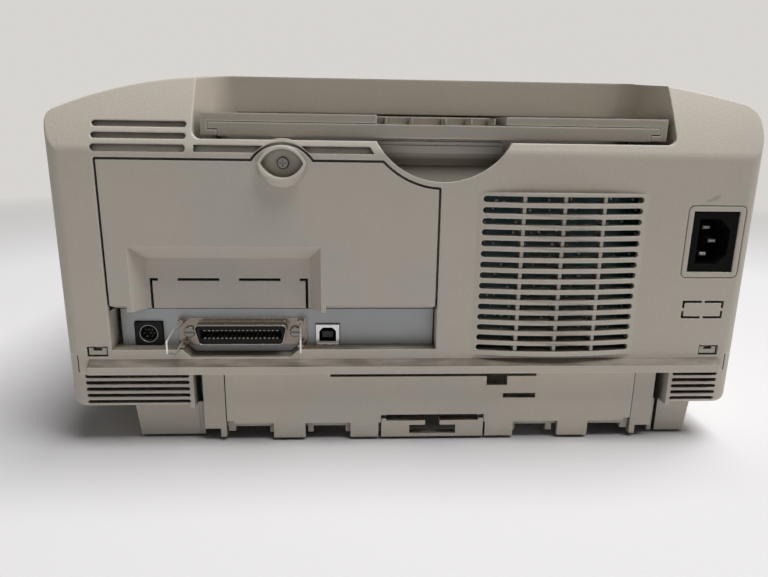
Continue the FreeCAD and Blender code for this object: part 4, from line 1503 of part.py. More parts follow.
def drive_pulley():
    """The pulley on the carriage motor, with the motor's shaft."""
    shaft = bar_y(MOTOR_SHAFT, DRIVE_X, BELT_Y - pulley_half() - 1, MOTOR_WALL + PLATE_THICK + SHAFT_DEPTH,
                  BELT_Z)
    return join([pulley(DRIVE_X), shaft])


def idler_pulley():
    return less(pulley(IDLER_X), [bar_y(STUB_RADIUS + RUN_FIT, IDLER_X, BELT_Y - SPARE, BELT_Y + SPARE,
                                        BELT_Z)])


def belt_loop(radius):
    y0, y1 = BELT_Y - BELT_WIDTH / 2, BELT_Y + BELT_WIDTH / 2
    middle = block(DRIVE_X, IDLER_X, y0, y1, BELT_Z - radius, BELT_Z + radius)
    return join([middle, bar_y(radius, DRIVE_X, y0, y1, BELT_Z), bar_y(radius, IDLER_X, y0, y1, BELT_Z)])


def carriage_belt():
    return less(belt_loop(BELT_RADIUS + BELT_THICK), [belt_loop(BELT_RADIUS)])


def carriage_motor():
    seat = MOTOR_WALL + PLATE_THICK
    can = bar_y(MOTOR_RADIUS, DRIVE_X, seat, seat + MOTOR_LENGTH, BELT_Z)
    can = can.makeFillet(MOTOR_EDGE, [e for e in can.Edges if e.CenterOfMass.y > seat + MOTOR_LENGTH - 0.01])
    return less(can, [bar_y(MOTOR_SHAFT + RUN_FIT, DRIVE_X, seat - 1, seat + SHAFT_DEPTH + CLEARANCE,
                            BELT_Z)])


# Rollers and the gears outside the chassis

def gear_faces():
    return CHASSIS_RIGHT - GEAR_GAP - GEAR_WIDTH, CHASSIS_RIGHT - GEAR_GAP


def pitch_radius(teeth):
    return MODULE * teeth / 2


def idler_centre():
    """Where the idler gear meets both the feed gear and the exit gear, above the line between them."""
    reach_feed = pitch_radius(FEED_TEETH) + pitch_radius(IDLER_TEETH)
    reach_exit = pitch_radius(EXIT_TEETH) + pitch_radius(IDLER_TEETH)
    along = V(0, EXIT_Y - FEED_Y, EXIT_Z - FEED_Z)
    gap = along.Length
    share = (reach_feed ** 2 - reach_exit ** 2 + gap ** 2) / (2 * gap)
    rise = math.sqrt(reach_feed ** 2 - share ** 2)
    along.normalize()
    return FEED_Y + along.y * share + along.z * rise, FEED_Z + along.z * share - along.y * rise


def pinion_centre():
    reach = pitch_radius(FEED_TEETH) + pitch_radius(PINION_TEETH)
    turn = math.radians(PINION_ANGLE)
    return FEED_Y + reach * math.cos(turn), FEED_Z + reach * math.sin(turn)


def meshed_phase(teeth, phase, centre, other_teeth, other_centre):
    """Turn of a gear whose teeth stand in the gaps of one already placed."""
    bearing = math.atan2(other_centre[1] - centre[1], other_centre[0] - centre[0])
    offset = teeth * (phase - bearing) / (2 * math.pi)
    return bearing + math.pi + 2 * math.pi / other_teeth * (0.5 - offset)


def tooth_half_angle(teeth, radius):
    """Half the angle that a tooth takes up at a radius, on involute flanks."""
    pitch = pitch_radius(teeth)
    base = pitch * math.cos(PRESSURE_ANGLE)
    lean = math.acos(min(1.0, base / max(radius, base)))
    flank = math.tan(PRESSURE_ANGLE) - PRESSURE_ANGLE - (math.tan(lean) - lean)
    return (math.pi * MODULE / 2 - BACKLASH / 2) / (2 * pitch) + flank


def gear(teeth, centre, phase):
    pitch = pitch_radius(teeth)
    radii = (pitch - ROOT_DEPTH * MODULE, pitch, pitch + TIP_HEIGHT * MODULE)
    points = []
    for i in range(teeth):
        middle = phase + 2 * math.pi * i / teeth
        turns = [(r, middle - tooth_half_angle(teeth, r)) for r in radii]
        turns += [(r, middle + tooth_half_angle(teeth, r)) for r in reversed(radii)]
        points += [(centre[0] + r * math.cos(t), centre[1] + r * math.sin(t)) for r, t in turns]
    return prism_x(points, *gear_faces())


def bored(shape, radius, centre):
    return less(shape, [bar_x(radius, CHASSIS_RIGHT - SPARE, CHASSIS_RIGHT, *centre)])


def feed_gear():
    return bored(gear(FEED_TEETH, (FEED_Y, FEED_Z), 0), JOURNAL_RADIUS, (FEED_Y, FEED_Z))


def idler_phase():
    return meshed_phase(FEED_TEETH, 0, (FEED_Y, FEED_Z), IDLER_TEETH, idler_centre())


def idler_gear():
    return bored(gear(IDLER_TEETH, idler_centre(), idler_phase()), STUB_RADIUS + RUN_FIT, idler_centre())


def exit_gear():
    centre = (EXIT_Y, EXIT_Z)
    phase = meshed_phase(IDLER_TEETH, idler_phase(), idler_centre(), EXIT_TEETH, centre)
    return bored(gear(EXIT_TEETH, centre, phase), EXIT_RADIUS, centre)


def motor_pinion():
    """The pinion on the feed motor, with the motor's shaft."""
    centre = pinion_centre()
    phase = meshed_phase(FEED_TEETH, 0, (FEED_Y, FEED_Z), PINION_TEETH, centre)
    shaft = bar_x(MOTOR_SHAFT, gear_faces()[0], chassis_inner()[1] + SHAFT_DEPTH, *centre)
    return join([gear(PINION_TEETH, centre, phase), shaft])


def feed_motor():
    seat = chassis_inner()[1]
    centre = pinion_centre()
    can = bar_x(MOTOR_RADIUS, seat, seat + MOTOR_LENGTH, *centre)
    can = can.makeFillet(MOTOR_EDGE, [e for e in can.Edges if e.CenterOfMass.x > seat + MOTOR_LENGTH - 0.01])
    return less(can, [bar_x(MOTOR_SHAFT + RUN_FIT, seat - 1, seat + SHAFT_DEPTH + CLEARANCE, *centre)])


def feed_roller():
    half = PAPER_WIDTH / 2 + ROLLER_OVER
    journal = bar_x(JOURNAL_RADIUS, CHASSIS_LEFT, gear_faces()[0], FEED_Y, FEED_Z)
    return join([bar_x(FEED_RADIUS, PAPER_CENTRE - half, PAPER_CENTRE + half, FEED_Y, FEED_Z), journal])


def tyre_places(half, count):
    return spread(PAPER_CENTRE - half, PAPER_CENTRE + half, count)


def exit_roller():
    """A shaft with soft tyres that carry the sheet out."""
    places = tyre_places(PAPER_WIDTH / 2 - TYRE_WIDTH, TYRE_COUNT)
    tyres = [bar_x(EXIT_TYRE, x - TYRE_WIDTH / 2, x + TYRE_WIDTH / 2, EXIT_Y, EXIT_Z) for x in places]
    return join([bar_x(EXIT_RADIUS, CHASSIS_LEFT, gear_faces()[0], EXIT_Y, EXIT_Z)] + tyres)


def pinch_roller():
    """The free shaft above the feed roller, with its rollers."""
    places = tyre_places(PAPER_WIDTH / 2 - PINCH_WIDTH, PINCH_COUNT)
    wheels = [bar_x(PINCH_RADIUS, x - PINCH_WIDTH / 2, x + PINCH_WIDTH / 2, FEED_Y, pinch_height())
              for x in places]
    return join([bar_x(PINCH_AXLE, CHASSIS_LEFT, CHASSIS_RIGHT, FEED_Y, pinch_height())] + wheels)


def pickup_roller():
    """The roller over the cassette on a shaft in the deck's brackets."""
    half = PICKUP_HALF + PICKUP_WINDOW + CLEARANCE + BRACKET_THICK
    shaft = bar_x(PICKUP_SHAFT, PAPER_CENTRE - half, PAPER_CENTRE + half, PICKUP_Y, PICKUP_Z)
    return join([bar_x(PICKUP_RADIUS, PAPER_CENTRE - PICKUP_HALF, PAPER_CENTRE + PICKUP_HALF, PICKUP_Y,
                       PICKUP_Z), shaft])


# Paper path and service parts on the chassis

def platen():
    """A ribbed bed under the print heads, hollow from below."""
    x0, x1 = PAPER_CENTRE - PLATEN_HALF, PAPER_CENTRE + PLATEN_HALF
    top = PLATEN_TOP - PLATEN_RIB_HEIGHT
    bed = block(x0, x1, PLATEN_FRONT, PLATEN_BACK, chassis_floor(), top)
    hollow = block(x0 + WALL, x1 - WALL, PLATEN_FRONT + WALL, PLATEN_BACK - WALL, chassis_floor() - 1,
                   top - WALL)
    ribs = [block(x - PLATEN_RIB / 2, x + PLATEN_RIB / 2, PLATEN_FRONT, PLATEN_BACK, top, PLATEN_TOP)
            for x in spread(x0 + SPARE, x1 - SPARE, PLATEN_RIBS)]
    return join([less(bed, [hollow])] + ribs)


def sheet_guide():
    """The bent plate that leads the sheet up to the feed roller, on two end walls."""
    upper = [(y, z) for y, z in SHEET_GUIDE]
    lower = [(y, z - SHEET_GUIDE_THICK) for y, z in reversed(SHEET_GUIDE)]
    half = PLATEN_HALF
    pieces = [prism_x(upper + lower, PAPER_CENTRE - half, PAPER_CENTRE + half)]
    bend_y, bend_z = SHEET_GUIDE[1]
    for out in (1, -1):
        edge = PAPER_CENTRE + out * half
        pieces.append(block(edge, edge - out * WALL, bend_y, bend_y - SPARE, DECK_TOP,
                            bend_z - SHEET_GUIDE_THICK / 2))
    return join(pieces)


def capping_station():
    """The block under the parked carriage, with an open cup for each print head."""
    x0, x1 = CARRIAGE_PARK - CAP_WIDTH / 2, CARRIAGE_PARK + CAP_WIDTH / 2
    low, top = chassis_floor() + CAP_HEIGHT, CARRIAGE_FLOOR - NOZZLE_DROP - CAP_GAP
    body = round_block(x0, x1, -CAP_DEPTH / 2, CAP_DEPTH / 2, chassis_floor(), low, WALL, Z_AXIS)
    half, deep = CAP_CUP / 2, CAP_DEPTH / 2 - WALL
    cups = []
    for a, b in cartridge_bays():
        middle = (a + b) / 2
        cup = round_block(middle - half, middle + half, -deep, deep, low, top, WALL, Z_AXIS)
        cups.append(less(cup, [block(middle - half + WALL, middle + half - WALL, -deep + WALL, deep - WALL,
                                     low, top + 1)]))
    return join([body] + cups)


LEFT_CLIP, RIGHT_CLIP = clip_pivots()
BLACK_BAY, COLOUR_BAY = cartridge_bays()
POWER_HEIGHT, FEED_HEIGHT, CANCEL_HEIGHT = BUTTON_HEIGHTS

NODES = {
    "base_casing": base_casing(),
    "upper_casing": upper_casing(),
    "rubber_feet": rubber_feet(),
    "interface_cover": interface_cover(),
    "cover_screw": cover_screw(),
    "io_panel": io_panel(),
    "parallel_port_shell": parallel_port_shell(),
    "parallel_port_insert": parallel_port_insert(),
    "parallel_port_contacts": parallel_port_contacts(),
    "port_screws": port_screws(),
    "port_clip_left": port_clip(LEFT_CLIP, 0),
    "port_clip_right": port_clip(RIGHT_CLIP, CLIP_RIGHT_SWING),
    "usb_port_shell": usb_port_shell(),
    "usb_port_insert": usb_port_insert(),
    "serial_port": serial_port(),
    "main_board": main_board(),
    "mains_inlet": mains_inlet(),
    "inlet_pins": inlet_pins(),
    "power_board": power_board(),
    "power_transformer": power_transformer(),
    "power_capacitors": power_capacitors(),
    "feed_tray": feed_tray(),
    "tray_extension": tray_extension(),
    "feed_chute": feed_chute(),
    "rear_access_door": rear_access_door(),
    "door_latch": door_latch(),
    "paper_cassette": paper_cassette(),
    "lift_plate": lift_plate(),
    "paper_guide_left": paper_guide(1),
    "paper_guide_right": paper_guide(-1),
    "top_cover": top_cover(),
    "output_flap": output_flap(),
    "control_panel": control_panel(),
    "power_button": button(POWER_HEIGHT),
    "feed_button": button(FEED_HEIGHT),
    "cancel_button": button(CANCEL_HEIGHT),
    "indicator_lenses": indicator_lenses(),
    "control_board": control_board(),
    "chassis": chassis(),
    "chassis_screws": chassis_screws(),
    "guide_rod": guide_rod(),
    "carriage": carriage(),
    "black_cartridge": cartridge(BLACK_BAY),
    "colour_cartridge": cartridge(COLOUR_BAY),
    "carriage_motor": carriage_motor(),
    "drive_pulley": drive_pulley(),
    "idler_pulley": idler_pulley(),
    "carriage_belt": carriage_belt(),
    "feed_roller": feed_roller(),
    "feed_gear": feed_gear(),
    "idler_gear": idler_gear(),
    "exit_roller": exit_roller(),
    "exit_gear": exit_gear(),
    "feed_motor": feed_motor(),
    "motor_pinion": motor_pinion(),
    "pinch_roller": pinch_roller(),
    "pickup_roller": pickup_roller(),
    "platen": platen(),
    "sheet_guide": sheet_guide(),
    "capping_station": capping_station(),
}

os.makedirs("parts", exist_ok=True)
for name, shape in NODES.items():
    shape.exportStep("parts/%s.step" % name)
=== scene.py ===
import bpy
import math
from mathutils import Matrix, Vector


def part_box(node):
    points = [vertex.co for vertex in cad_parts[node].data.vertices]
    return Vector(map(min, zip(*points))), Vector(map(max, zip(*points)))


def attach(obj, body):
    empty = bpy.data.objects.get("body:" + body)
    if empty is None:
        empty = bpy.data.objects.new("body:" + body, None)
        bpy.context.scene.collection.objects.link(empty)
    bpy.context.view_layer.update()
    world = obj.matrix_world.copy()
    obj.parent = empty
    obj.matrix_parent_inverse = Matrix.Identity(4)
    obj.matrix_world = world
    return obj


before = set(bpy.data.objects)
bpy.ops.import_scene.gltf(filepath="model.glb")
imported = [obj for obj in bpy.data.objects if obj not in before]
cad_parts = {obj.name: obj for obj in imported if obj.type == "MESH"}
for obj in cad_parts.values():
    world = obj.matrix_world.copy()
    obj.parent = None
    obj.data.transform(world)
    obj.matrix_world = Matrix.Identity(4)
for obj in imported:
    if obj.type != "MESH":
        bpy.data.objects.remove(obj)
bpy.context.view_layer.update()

# The view: the printer stands with its rear to the camera, whose lens is a little below its top.
# The lens is wide and close, and leans to one side by less than a degree.
camera_data = bpy.data.cameras.new("rear_view")
camera_data.sensor_fit = "HORIZONTAL"
camera_data.sensor_width = 36.0
camera_data.lens = 28.28
camera = bpy.data.objects.new("rear_view", camera_data)
camera.location = (0.029, 0.4706, 0.1591)
camera.rotation_euler = [math.radians(a) for a in (75.8945, -0.8156, 177.2810)]
bpy.context.scene.collection.objects.link(camera)
bpy.context.scene.camera = camera
bpy.context.scene.view_settings.view_transform = "Standard"

# The table: a plain pale sheet under the printer that runs out of view on every side.
# It is matt, faintly mottled, and throws light up on the body. Far off it fades into the pale wall.


def new_finish(name):
    """A node material, its tree, its shader and the Object coordinates to draw its pattern on."""
    material = bpy.data.materials.new(name)
    material.use_nodes = True
    tree = material.node_tree
    place = tree.nodes.new("ShaderNodeTexCoord").outputs["Object"]
    return material, tree, tree.nodes["Principled BSDF"], place


def add(tree, kind, links, **settings):
    """A node with its settings made and its inputs linked or set."""
    made = tree.nodes.new(kind)
    for key, value in settings.items():
        setattr(made, key, value)
    for socket, source in links.items():
        if isinstance(source, bpy.types.NodeSocket):
            tree.links.new(source, made.inputs[socket])
        else:
            made.inputs[socket].default_value = source
    return made


def speckle(tree, place, scale, detail=2.0, stretch=None):
    """Noise between 0 and 1, drawn out along an axis where a stretch is given."""
    if stretch:
        place = add(tree, "ShaderNodeMapping", {"Vector": place, "Scale": stretch}).outputs["Vector"]
    return add(tree, "ShaderNodeTexNoise", {"Vector": place, "Scale": scale, "Detail": detail}).outputs["Fac"]


def ranged(tree, value, low, high, to_low=0.0, to_high=1.0):
    """A value taken from one range to another and held at its ends."""
    links = {"Value": value, "From Min": low, "From Max": high, "To Min": to_low, "To Max": to_high}
    return add(tree, "ShaderNodeMapRange", links).outputs["Result"]


def tint(tree, share, below, above, blend="MIX"):
    """A colour between two, by a share that may be a number or a socket."""
    made = add(tree, "ShaderNodeMix", {"Factor": share}, data_type="RGBA", blend_type=blend)
    for socket, source in ((made.inputs[6], below), (made.inputs[7], above)):
        if isinstance(source, bpy.types.NodeSocket):
            tree.links.new(source, socket)
        else:
            socket.default_value = tuple(source) + (1.0,)
    return made.outputs[2]


def reckon(tree, operation, *values):
    """A sum worked by one Math node on numbers or sockets."""
    return add(tree, "ShaderNodeMath", dict(enumerate(values)), operation=operation).outputs[0]


def times(tree, a, b):
    """The product of two numbers or sockets."""
    return reckon(tree, "MULTIPLY", a, b)


def length(tree, vector):
    """How far a point lies from the origin of its coordinates."""
    return add(tree, "ShaderNodeVectorMath", {0: vector}, operation="LENGTH").outputs["Value"]


def seen(tree):
    """1 for what the eye sees directly, in metal or through a clear piece."""
    path = tree.nodes.new("ShaderNodeLightPath").outputs
    direct = reckon(tree, "MAXIMUM", path["Is Camera Ray"], path["Is Glossy Ray"])
    return reckon(tree, "MAXIMUM", direct, path["Is Transmission Ray"])


table_half = 5.0
fade_from, fade_to = 0.5, 1.4
sheet_dark, sheet_light, sheet_far = (0.725, 0.715, 0.725), (0.755, 0.745, 0.755), (0.25, 0.25, 0.25)
wall_colour = (0.68, 0.66, 0.635, 1.0)
table_mesh = bpy.data.meshes.new("table")
table_corners = [(x * table_half, y * table_half, 0.0) for x, y in ((-1, -1), (1, -1), (1, 1), (-1, 1))]
table_mesh.from_pydata(table_corners, [], [(0, 1, 2, 3)])
table = bpy.data.objects.new("table", table_mesh)
bpy.context.scene.collection.objects.link(table)
table_finish, tree, shader, place = new_finish("table_white")
mottle = speckle(tree, place, 6.0, 4.0)
sheet = tint(tree, mottle, sheet_dark, sheet_light)
away = ranged(tree, length(tree, place), fade_from, fade_to)
tree.links.new(tint(tree, away, sheet, sheet_far), shader.inputs["Base Color"])
shader.inputs["Roughness"].default_value = 0.7
shader.inputs["Specular IOR Level"].default_value = 0.25
distant = times(tree, away, seen(tree))
haze = add(tree, "ShaderNodeEmission", {"Color": wall_colour, "Strength": 1.0})
faded = add(tree, "ShaderNodeMixShader", {0: distant, 1: shader.outputs[0], 2: haze.outputs[0]})
tree.links.new(faded.outputs[0], tree.nodes["Material Output"].inputs["Surface"])
table_mesh.materials.append(table_finish)

# The light: one wide soft lamp overhead, a little to the inlet side, and a weak even sky.
# The rear face is lit mostly by what the table throws back. The room is pale to the eye and in metal.
lamp_aim, lamp_offset = Vector((0.0, 0.1, 0.1)), Vector((-1.75, 0.02, 5.05))
sky_colour, sky_strength = (0.97, 0.98, 1.0, 1.0), 0.06
lamp_data = bpy.data.lights.new("overhead", "AREA")
lamp_data.shape = "RECTANGLE"
lamp_data.size, lamp_data.size_y = 4.2, 3.4
lamp_data.energy = 372.0
lamp = bpy.data.objects.new("overhead", lamp_data)
lamp.location = lamp_aim + lamp_offset
lamp.rotation_euler = (lamp_aim - lamp.location).to_track_quat("-Z", "Y").to_euler()
bpy.context.scene.collection.objects.link(lamp)

sky = bpy.data.worlds.new("room")
bpy.context.scene.world = sky
sky.use_nodes = True
tree = sky.node_tree
soft = tree.nodes["Background"]
soft.inputs["Color"].default_value = sky_colour
soft.inputs["Strength"].default_value = sky_strength
pale = add(tree, "ShaderNodeBackground", {"Color": wall_colour, "Strength": 1.0})
both = add(tree, "ShaderNodeMixShader", {0: seen(tree), 1: soft.outputs[0], 2: pale.outputs[0]})
tree.links.new(both.outputs[0], tree.nodes["World Output"].inputs["Surface"])

# Rubber feet: four soft pads pressed into the underside of the runners.
# They are moulded in dark rubber, dull and a little dusty.


def dress(finish, *names):
    """Gives a finish to parts of the frame by name."""
    for name in names:
        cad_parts[name].data.materials[0] = finish


def roughened(tree, shader, place, scale, depth, normal=None, pebbled=False):
    """Fine or pebbled relief on a surface, laid over softened edges where these are given."""
    relief = speckle(tree, place, scale, 3.0)
    if pebbled:
        cells = add(tree, "ShaderNodeTexVoronoi", {"Vector": place, "Scale": scale, "Smoothness": 0.4},
                    feature="SMOOTH_F1").outputs["Distance"]
        relief = reckon(tree, "SUBTRACT", relief, cells)
    links = {"Height": relief, "Strength": 0.6, "Distance": depth}
    if normal:
        links["Normal"] = normal
    tree.links.new(add(tree, "ShaderNodeBump", links).outputs["Normal"], shader.inputs["Normal"])


def rubber(name, colour, dust):
    """Matt rubber with patches of dust."""
    finish, tree, shader, place = new_finish(name)
    patch = ranged(tree, speckle(tree, place, 120.0, 4.0), 0.4, 0.75)
    tree.links.new(tint(tree, patch, colour, dust), shader.inputs["Base Color"])
    tree.links.new(ranged(tree, patch, 0.0, 1.0, 0.6, 0.85), shader.inputs["Roughness"])
    roughened(tree, shader, place, 2200.0, 0.0001)
    return finish


dress(rubber("foot_rubber", (0.045, 0.044, 0.043), (0.11, 0.10, 0.09)), "rubber_feet")

# Base casing: the lower half of the shell, with the runners, the cassette tunnel and the side vents.
# It is injection moulded in warm grey plastic with a fine spark grain, and the upper casing clips over it.


def within(tree, place, spot, reach, tilt=0.0):
    """Coordinates about a spot, turned about Y and measured in its reach along each axis."""
    links = {"Vector": place, "Location": spot, "Rotation": (0.0, tilt, 0.0), "Scale": reach}
    return add(tree, "ShaderNodeMapping", links, vector_type="TEXTURE").outputs["Vector"]


def widest(tree, vector):
    """The larger of a vector's X and Z, without their signs."""
    sides = add(tree, "ShaderNodeVectorMath", {0: vector}, operation="ABSOLUTE").outputs["Vector"]
    sides = add(tree, "ShaderNodeSeparateXYZ", {0: sides}).outputs
    return reckon(tree, "MAXIMUM", sides["X"], sides["Z"])


def shut_in(tree, reach, local):
    """1 on open ground, and less where walls within reach close a point in."""
    walls = add(tree, "ShaderNodeAmbientOcclusion", {"Distance": reach}, samples=5, only_local=local)
    return walls.outputs["AO"]


def shaded(colour, share):
    """A colour made darker or paler by a share and held at white."""
    return [min(1.0, c * share) for c in colour]


corner_reach, corner_open, corner_shut = 0.0035, 0.82, 0.48
crack_open, crack_shut, crack_share = 0.45, 0.16, 0.95
dirt_and_shade_tone, crack_tone, mark_and_shade_tone = 0.28, 0.05, 0.35
shade_below_blend, dust_blend = 0.003, 0.006
dust_colour = (0.125, 0.097, 0.068)
wiped_unshaded_share, wiped_unshaded_from, wiped_unshaded_to = 0.12, 0.97, 1.03
drift_tone, fleck_tone = 0.94, (0.965, 0.965, 0.965)


def moulded(name, colour, grain=1500.0, depth=0.00008, dust=0.0, dust_top=0.065, soil_and_shade=0.7, rough=0.56,
            rounding=0.0006, gloss=0.4, rim_highlight=0.75, shine=1.4, gap=0.005, pebbled=False, marks_and_shade=(), shade_below=None,
            clean_unshaded=None):
    """Moulded plastic: grain, a slow drift of colour, dirt and painted shade in corners and gaps, painted
    highlights on rims and dust on ledges.
    """
    finish, tree, shader, place = new_finish(name)
    warm = [colour[0] * 1.02, colour[1], colour[2] * 0.95]
    brown = [colour[0], colour[1] * 0.95, colour[2] * 0.88]
    drift = ranged(tree, speckle(tree, place, 14.0, 3.0), 0.3, 0.7)
    skin = tint(tree, drift, shaded(colour, drift_tone), warm)
    fleck = ranged(tree, speckle(tree, place, 700.0, 2.0), 0.35, 0.65)
    skin = tint(tree, fleck, tint(tree, 1.0, skin, fleck_tone, "MULTIPLY"), skin)
    height = add(tree, "ShaderNodeSeparateXYZ", {0: place}).outputs["Z"]
    # Painted shade: below a given height the colour turns to a darker one.
    if shade_below:
        limit, low_colour = shade_below
        skin = tint(tree, ranged(tree, height, limit, limit - shade_below_blend), skin, low_colour)

    # Dirt and painted shade: corners closed in by the piece's own walls turn darker and browner, in patches.
    corner = shut_in(tree, corner_reach, True)
    dirt_and_shade = ranged(tree, corner, corner_open, corner_shut, 0.0, soil_and_shade)
    dirt_and_shade = times(tree, dirt_and_shade, ranged(tree, speckle(tree, place, 60.0, 4.0), 0.2, 0.6, 0.5, 1.0))
    # Painted shade: gaps between this piece and its neighbours turn nearly black.
    gap_shade = ranged(tree, shut_in(tree, gap, False), crack_open, crack_shut, 0.0, crack_share)
    # Around a given zone the dirt and painted shade are mostly left off.
    if clean_unshaded:
        aside = widest(tree, within(tree, place, *clean_unshaded))
        wiped_unshaded = ranged(tree, aside, wiped_unshaded_from, wiped_unshaded_to, wiped_unshaded_share, 1.0)
        dirt_and_shade, gap_shade = times(tree, dirt_and_shade, wiped_unshaded), times(tree, gap_shade, wiped_unshaded)
    skin = tint(tree, dirt_and_shade, skin, shaded(brown, dirt_and_shade_tone))
    skin = tint(tree, gap_shade, skin, shaded(colour, crack_tone))

    # Painted highlight: rounded edges are made paler, less so in corners.
    edge = add(tree, "ShaderNodeBevel", {"Radius": rounding}, samples=5).outputs["Normal"]
    flat = tree.nodes.new("ShaderNodeNewGeometry").outputs["True Normal"]
    level = add(tree, "ShaderNodeVectorMath", {0: edge, 1: flat}, operation="DOT_PRODUCT").outputs["Value"]
    edge_highlight = times(tree, ranged(tree, level, 0.99, 0.9, 0.0, rim_highlight), ranged(tree, corner, 0.55, 0.8))
    skin = tint(tree, edge_highlight, skin, shaded(colour, shine))

    if dust:
        facing = add(tree, "ShaderNodeSeparateXYZ", {0: place.node.outputs["Normal"]}).outputs["Z"]
        below = ranged(tree, height, dust_top, dust_top - dust_blend)
        lies = times(tree, ranged(tree, facing, 0.3, 0.7), below)
        settled = speckle(tree, place, 160.0, 6.0, (0.25, 1.0, 1.0))
        lies = times(tree, lies, ranged(tree, settled, 0.25, 0.62, 0.45, dust))
        skin = tint(tree, lies, skin, dust_colour)
    # Marks: real scuffs and painted shade in hollows, each a darker smear about a spot.
    for spot, reach, tilt in marks_and_shade:
        smear_and_shade = ranged(tree, length(tree, within(tree, place, spot, reach, tilt)), 1.0, 0.1, 0.0, 0.75)
        smear_and_shade = times(tree, smear_and_shade, ranged(tree, speckle(tree, place, 900.0), 0.3, 0.6))
        skin = tint(tree, smear_and_shade, skin, shaded(colour, mark_and_shade_tone))
    tree.links.new(skin, shader.inputs["Base Color"])
    sheen = ranged(tree, speckle(tree, place, 35.0, 4.0), 0.3, 0.7, rough - 0.06, rough + 0.08)
    tree.links.new(sheen, shader.inputs["Roughness"])
    shader.inputs["Specular IOR Level"].default_value = gloss
    roughened(tree, shader, place, grain, depth, edge, pebbled)
    return finish


# Its finish paints shade into its corners and into the gaps towards its neighbours.
dress(moulded("base_plastic", (0.605, 0.56, 0.495), gap=0.02), "base_casing")

# Chassis: the folded frame of the print mechanism, screwed down on the deck of the base.
# It is zinc plated sheet steel. The carriage runs on a ground steel rod pressed into its side plates.


def steel(name, colour, rough, streak=(1.0, 1.0, 1.0), scale=400.0, stain=(0.5, 0.46, 0.4), stains=0.25,
          rim_highlight=0.3, rounding=0.0003):
    """Bare or plated metal: brushed or rolled streaks, a light stain in patches and painted highlights on its
    rims.
    """
    finish, tree, shader, place = new_finish(name)
    lines = speckle(tree, place, scale, 4.0, streak)
    patch = ranged(tree, speckle(tree, place, 45.0, 4.0), 0.5, 0.75, 0.0, stains)
    plain = tint(tree, ranged(tree, lines, 0.3, 0.7), shaded(colour, 0.9), colour)
    skin = tint(tree, patch, plain, [c * share for c, share in zip(colour, stain)])
    edge = add(tree, "ShaderNodeBevel", {"Radius": rounding}, samples=4).outputs["Normal"]
    flat = tree.nodes.new("ShaderNodeNewGeometry").outputs["True Normal"]
    level = add(tree, "ShaderNodeVectorMath", {0: edge, 1: flat}, operation="DOT_PRODUCT").outputs["Value"]
    # Painted highlight: rounded rims are made paler.
    skin = tint(tree, ranged(tree, level, 0.98, 0.85, 0.0, rim_highlight), skin, [0.5 + 0.5 * c for c in colour])
    tree.links.new(skin, shader.inputs["Base Color"])
    tree.links.new(ranged(tree, lines, 0.25, 0.75, rough - 0.05, rough + 0.1), shader.inputs["Roughness"])
    shader.inputs["Metallic"].default_value = 1.0
    links = {"Height": lines, "Strength": 0.25, "Distance": 0.00003, "Normal": edge}
    tree.links.new(add(tree, "ShaderNodeBump", links).outputs["Normal"], shader.inputs["Normal"])
    return finish


dress(steel("zinc_sheet", (0.44, 0.447, 0.447), 0.45, (0.2, 1.0, 1.0)), "chassis")
dress(steel("screw_steel", (0.55, 0.54, 0.52), 0.32, scale=900.0), "chassis_screws")
dress(steel("ground_rod", (0.72, 0.72, 0.71), 0.16, (0.1, 1.0, 1.0), 1200.0), "guide_rod")

# Rollers: the feed roller is a ground steel shaft with a gritty coat over the width of the paper.
# The exit and pinch rollers are plastic on thin shafts, and the pick-up roller is a soft rubber drum.
dress(steel("gritty_shaft", (0.42, 0.42, 0.42), 0.5, scale=2600.0, stains=0.1), "feed_roller")
dress(moulded("roller_plastic", (0.16, 0.16, 0.165), soil_and_shade=0.3, rough=0.5), "exit_roller", "pinch_roller")
dress(rubber("pickup_rubber", (0.075, 0.073, 0.07), (0.20, 0.19, 0.18)), "pickup_roller")

# Gears: the feed, idler and exit wheels and the belt's idler are moulded in white acetal.
# Dirt and painted shade darken the gaps between their teeth.
dress(moulded("acetal_white", (0.74, 0.73, 0.69), grain=2600.0, depth=0.00003, soil_and_shade=0.7, rough=0.38),
      "feed_gear", "idler_gear", "exit_gear", "idler_pulley")
dress(steel("cut_brass", (0.78, 0.58, 0.26), 0.28, scale=900.0, stain=(0.6, 0.5, 0.4)), "motor_pinion")

# Motors: two drawn steel cans, one on the rear plate for the belt and one on the gear side.
# They are zinc plated, with a dull drawn finish along the can. The belt's pulley is turned aluminium.
can_steel = (0.50, 0.51, 0.52)
dress(steel("drawn_can", can_steel, 0.34, (1.0, 0.15, 1.0), 700.0), "carriage_motor")
dress(steel("drawn_can_side", can_steel, 0.34, (0.15, 1.0, 1.0), 700.0), "feed_motor")
dress(steel("turned_aluminium", (0.72, 0.72, 0.71), 0.3, (1.0, 0.2, 1.0), 900.0), "drive_pulley")

# Belt: an endless toothed belt that draws the carriage along its rod.
# It is black rubber with ribs across its run, bright with wear on their crests.
belt_finish, tree, shader, place = new_finish("belt_rubber")
ribs_scale = 157.0
ribs = add(tree, "ShaderNodeTexWave", {"Vector": place, "Scale": ribs_scale, "Distortion": 0.0},
           wave_type="BANDS", bands_direction="X").outputs["Fac"]
worn = times(tree, ranged(tree, ribs, 0.7, 1.0), speckle(tree, place, 300.0, 3.0))
tree.links.new(tint(tree, worn, (0.028, 0.028, 0.028), (0.085, 0.083, 0.08)), shader.inputs["Base Color"])
tree.links.new(ranged(tree, worn, 0.0, 0.6, 0.75, 0.5), shader.inputs["Roughness"])
ridge = add(tree, "ShaderNodeBump", {"Height": ribs, "Strength": 0.8, "Distance": 0.0004})
tree.links.new(ridge.outputs["Normal"], shader.inputs["Normal"])
dress(belt_finish, "carriage_belt")

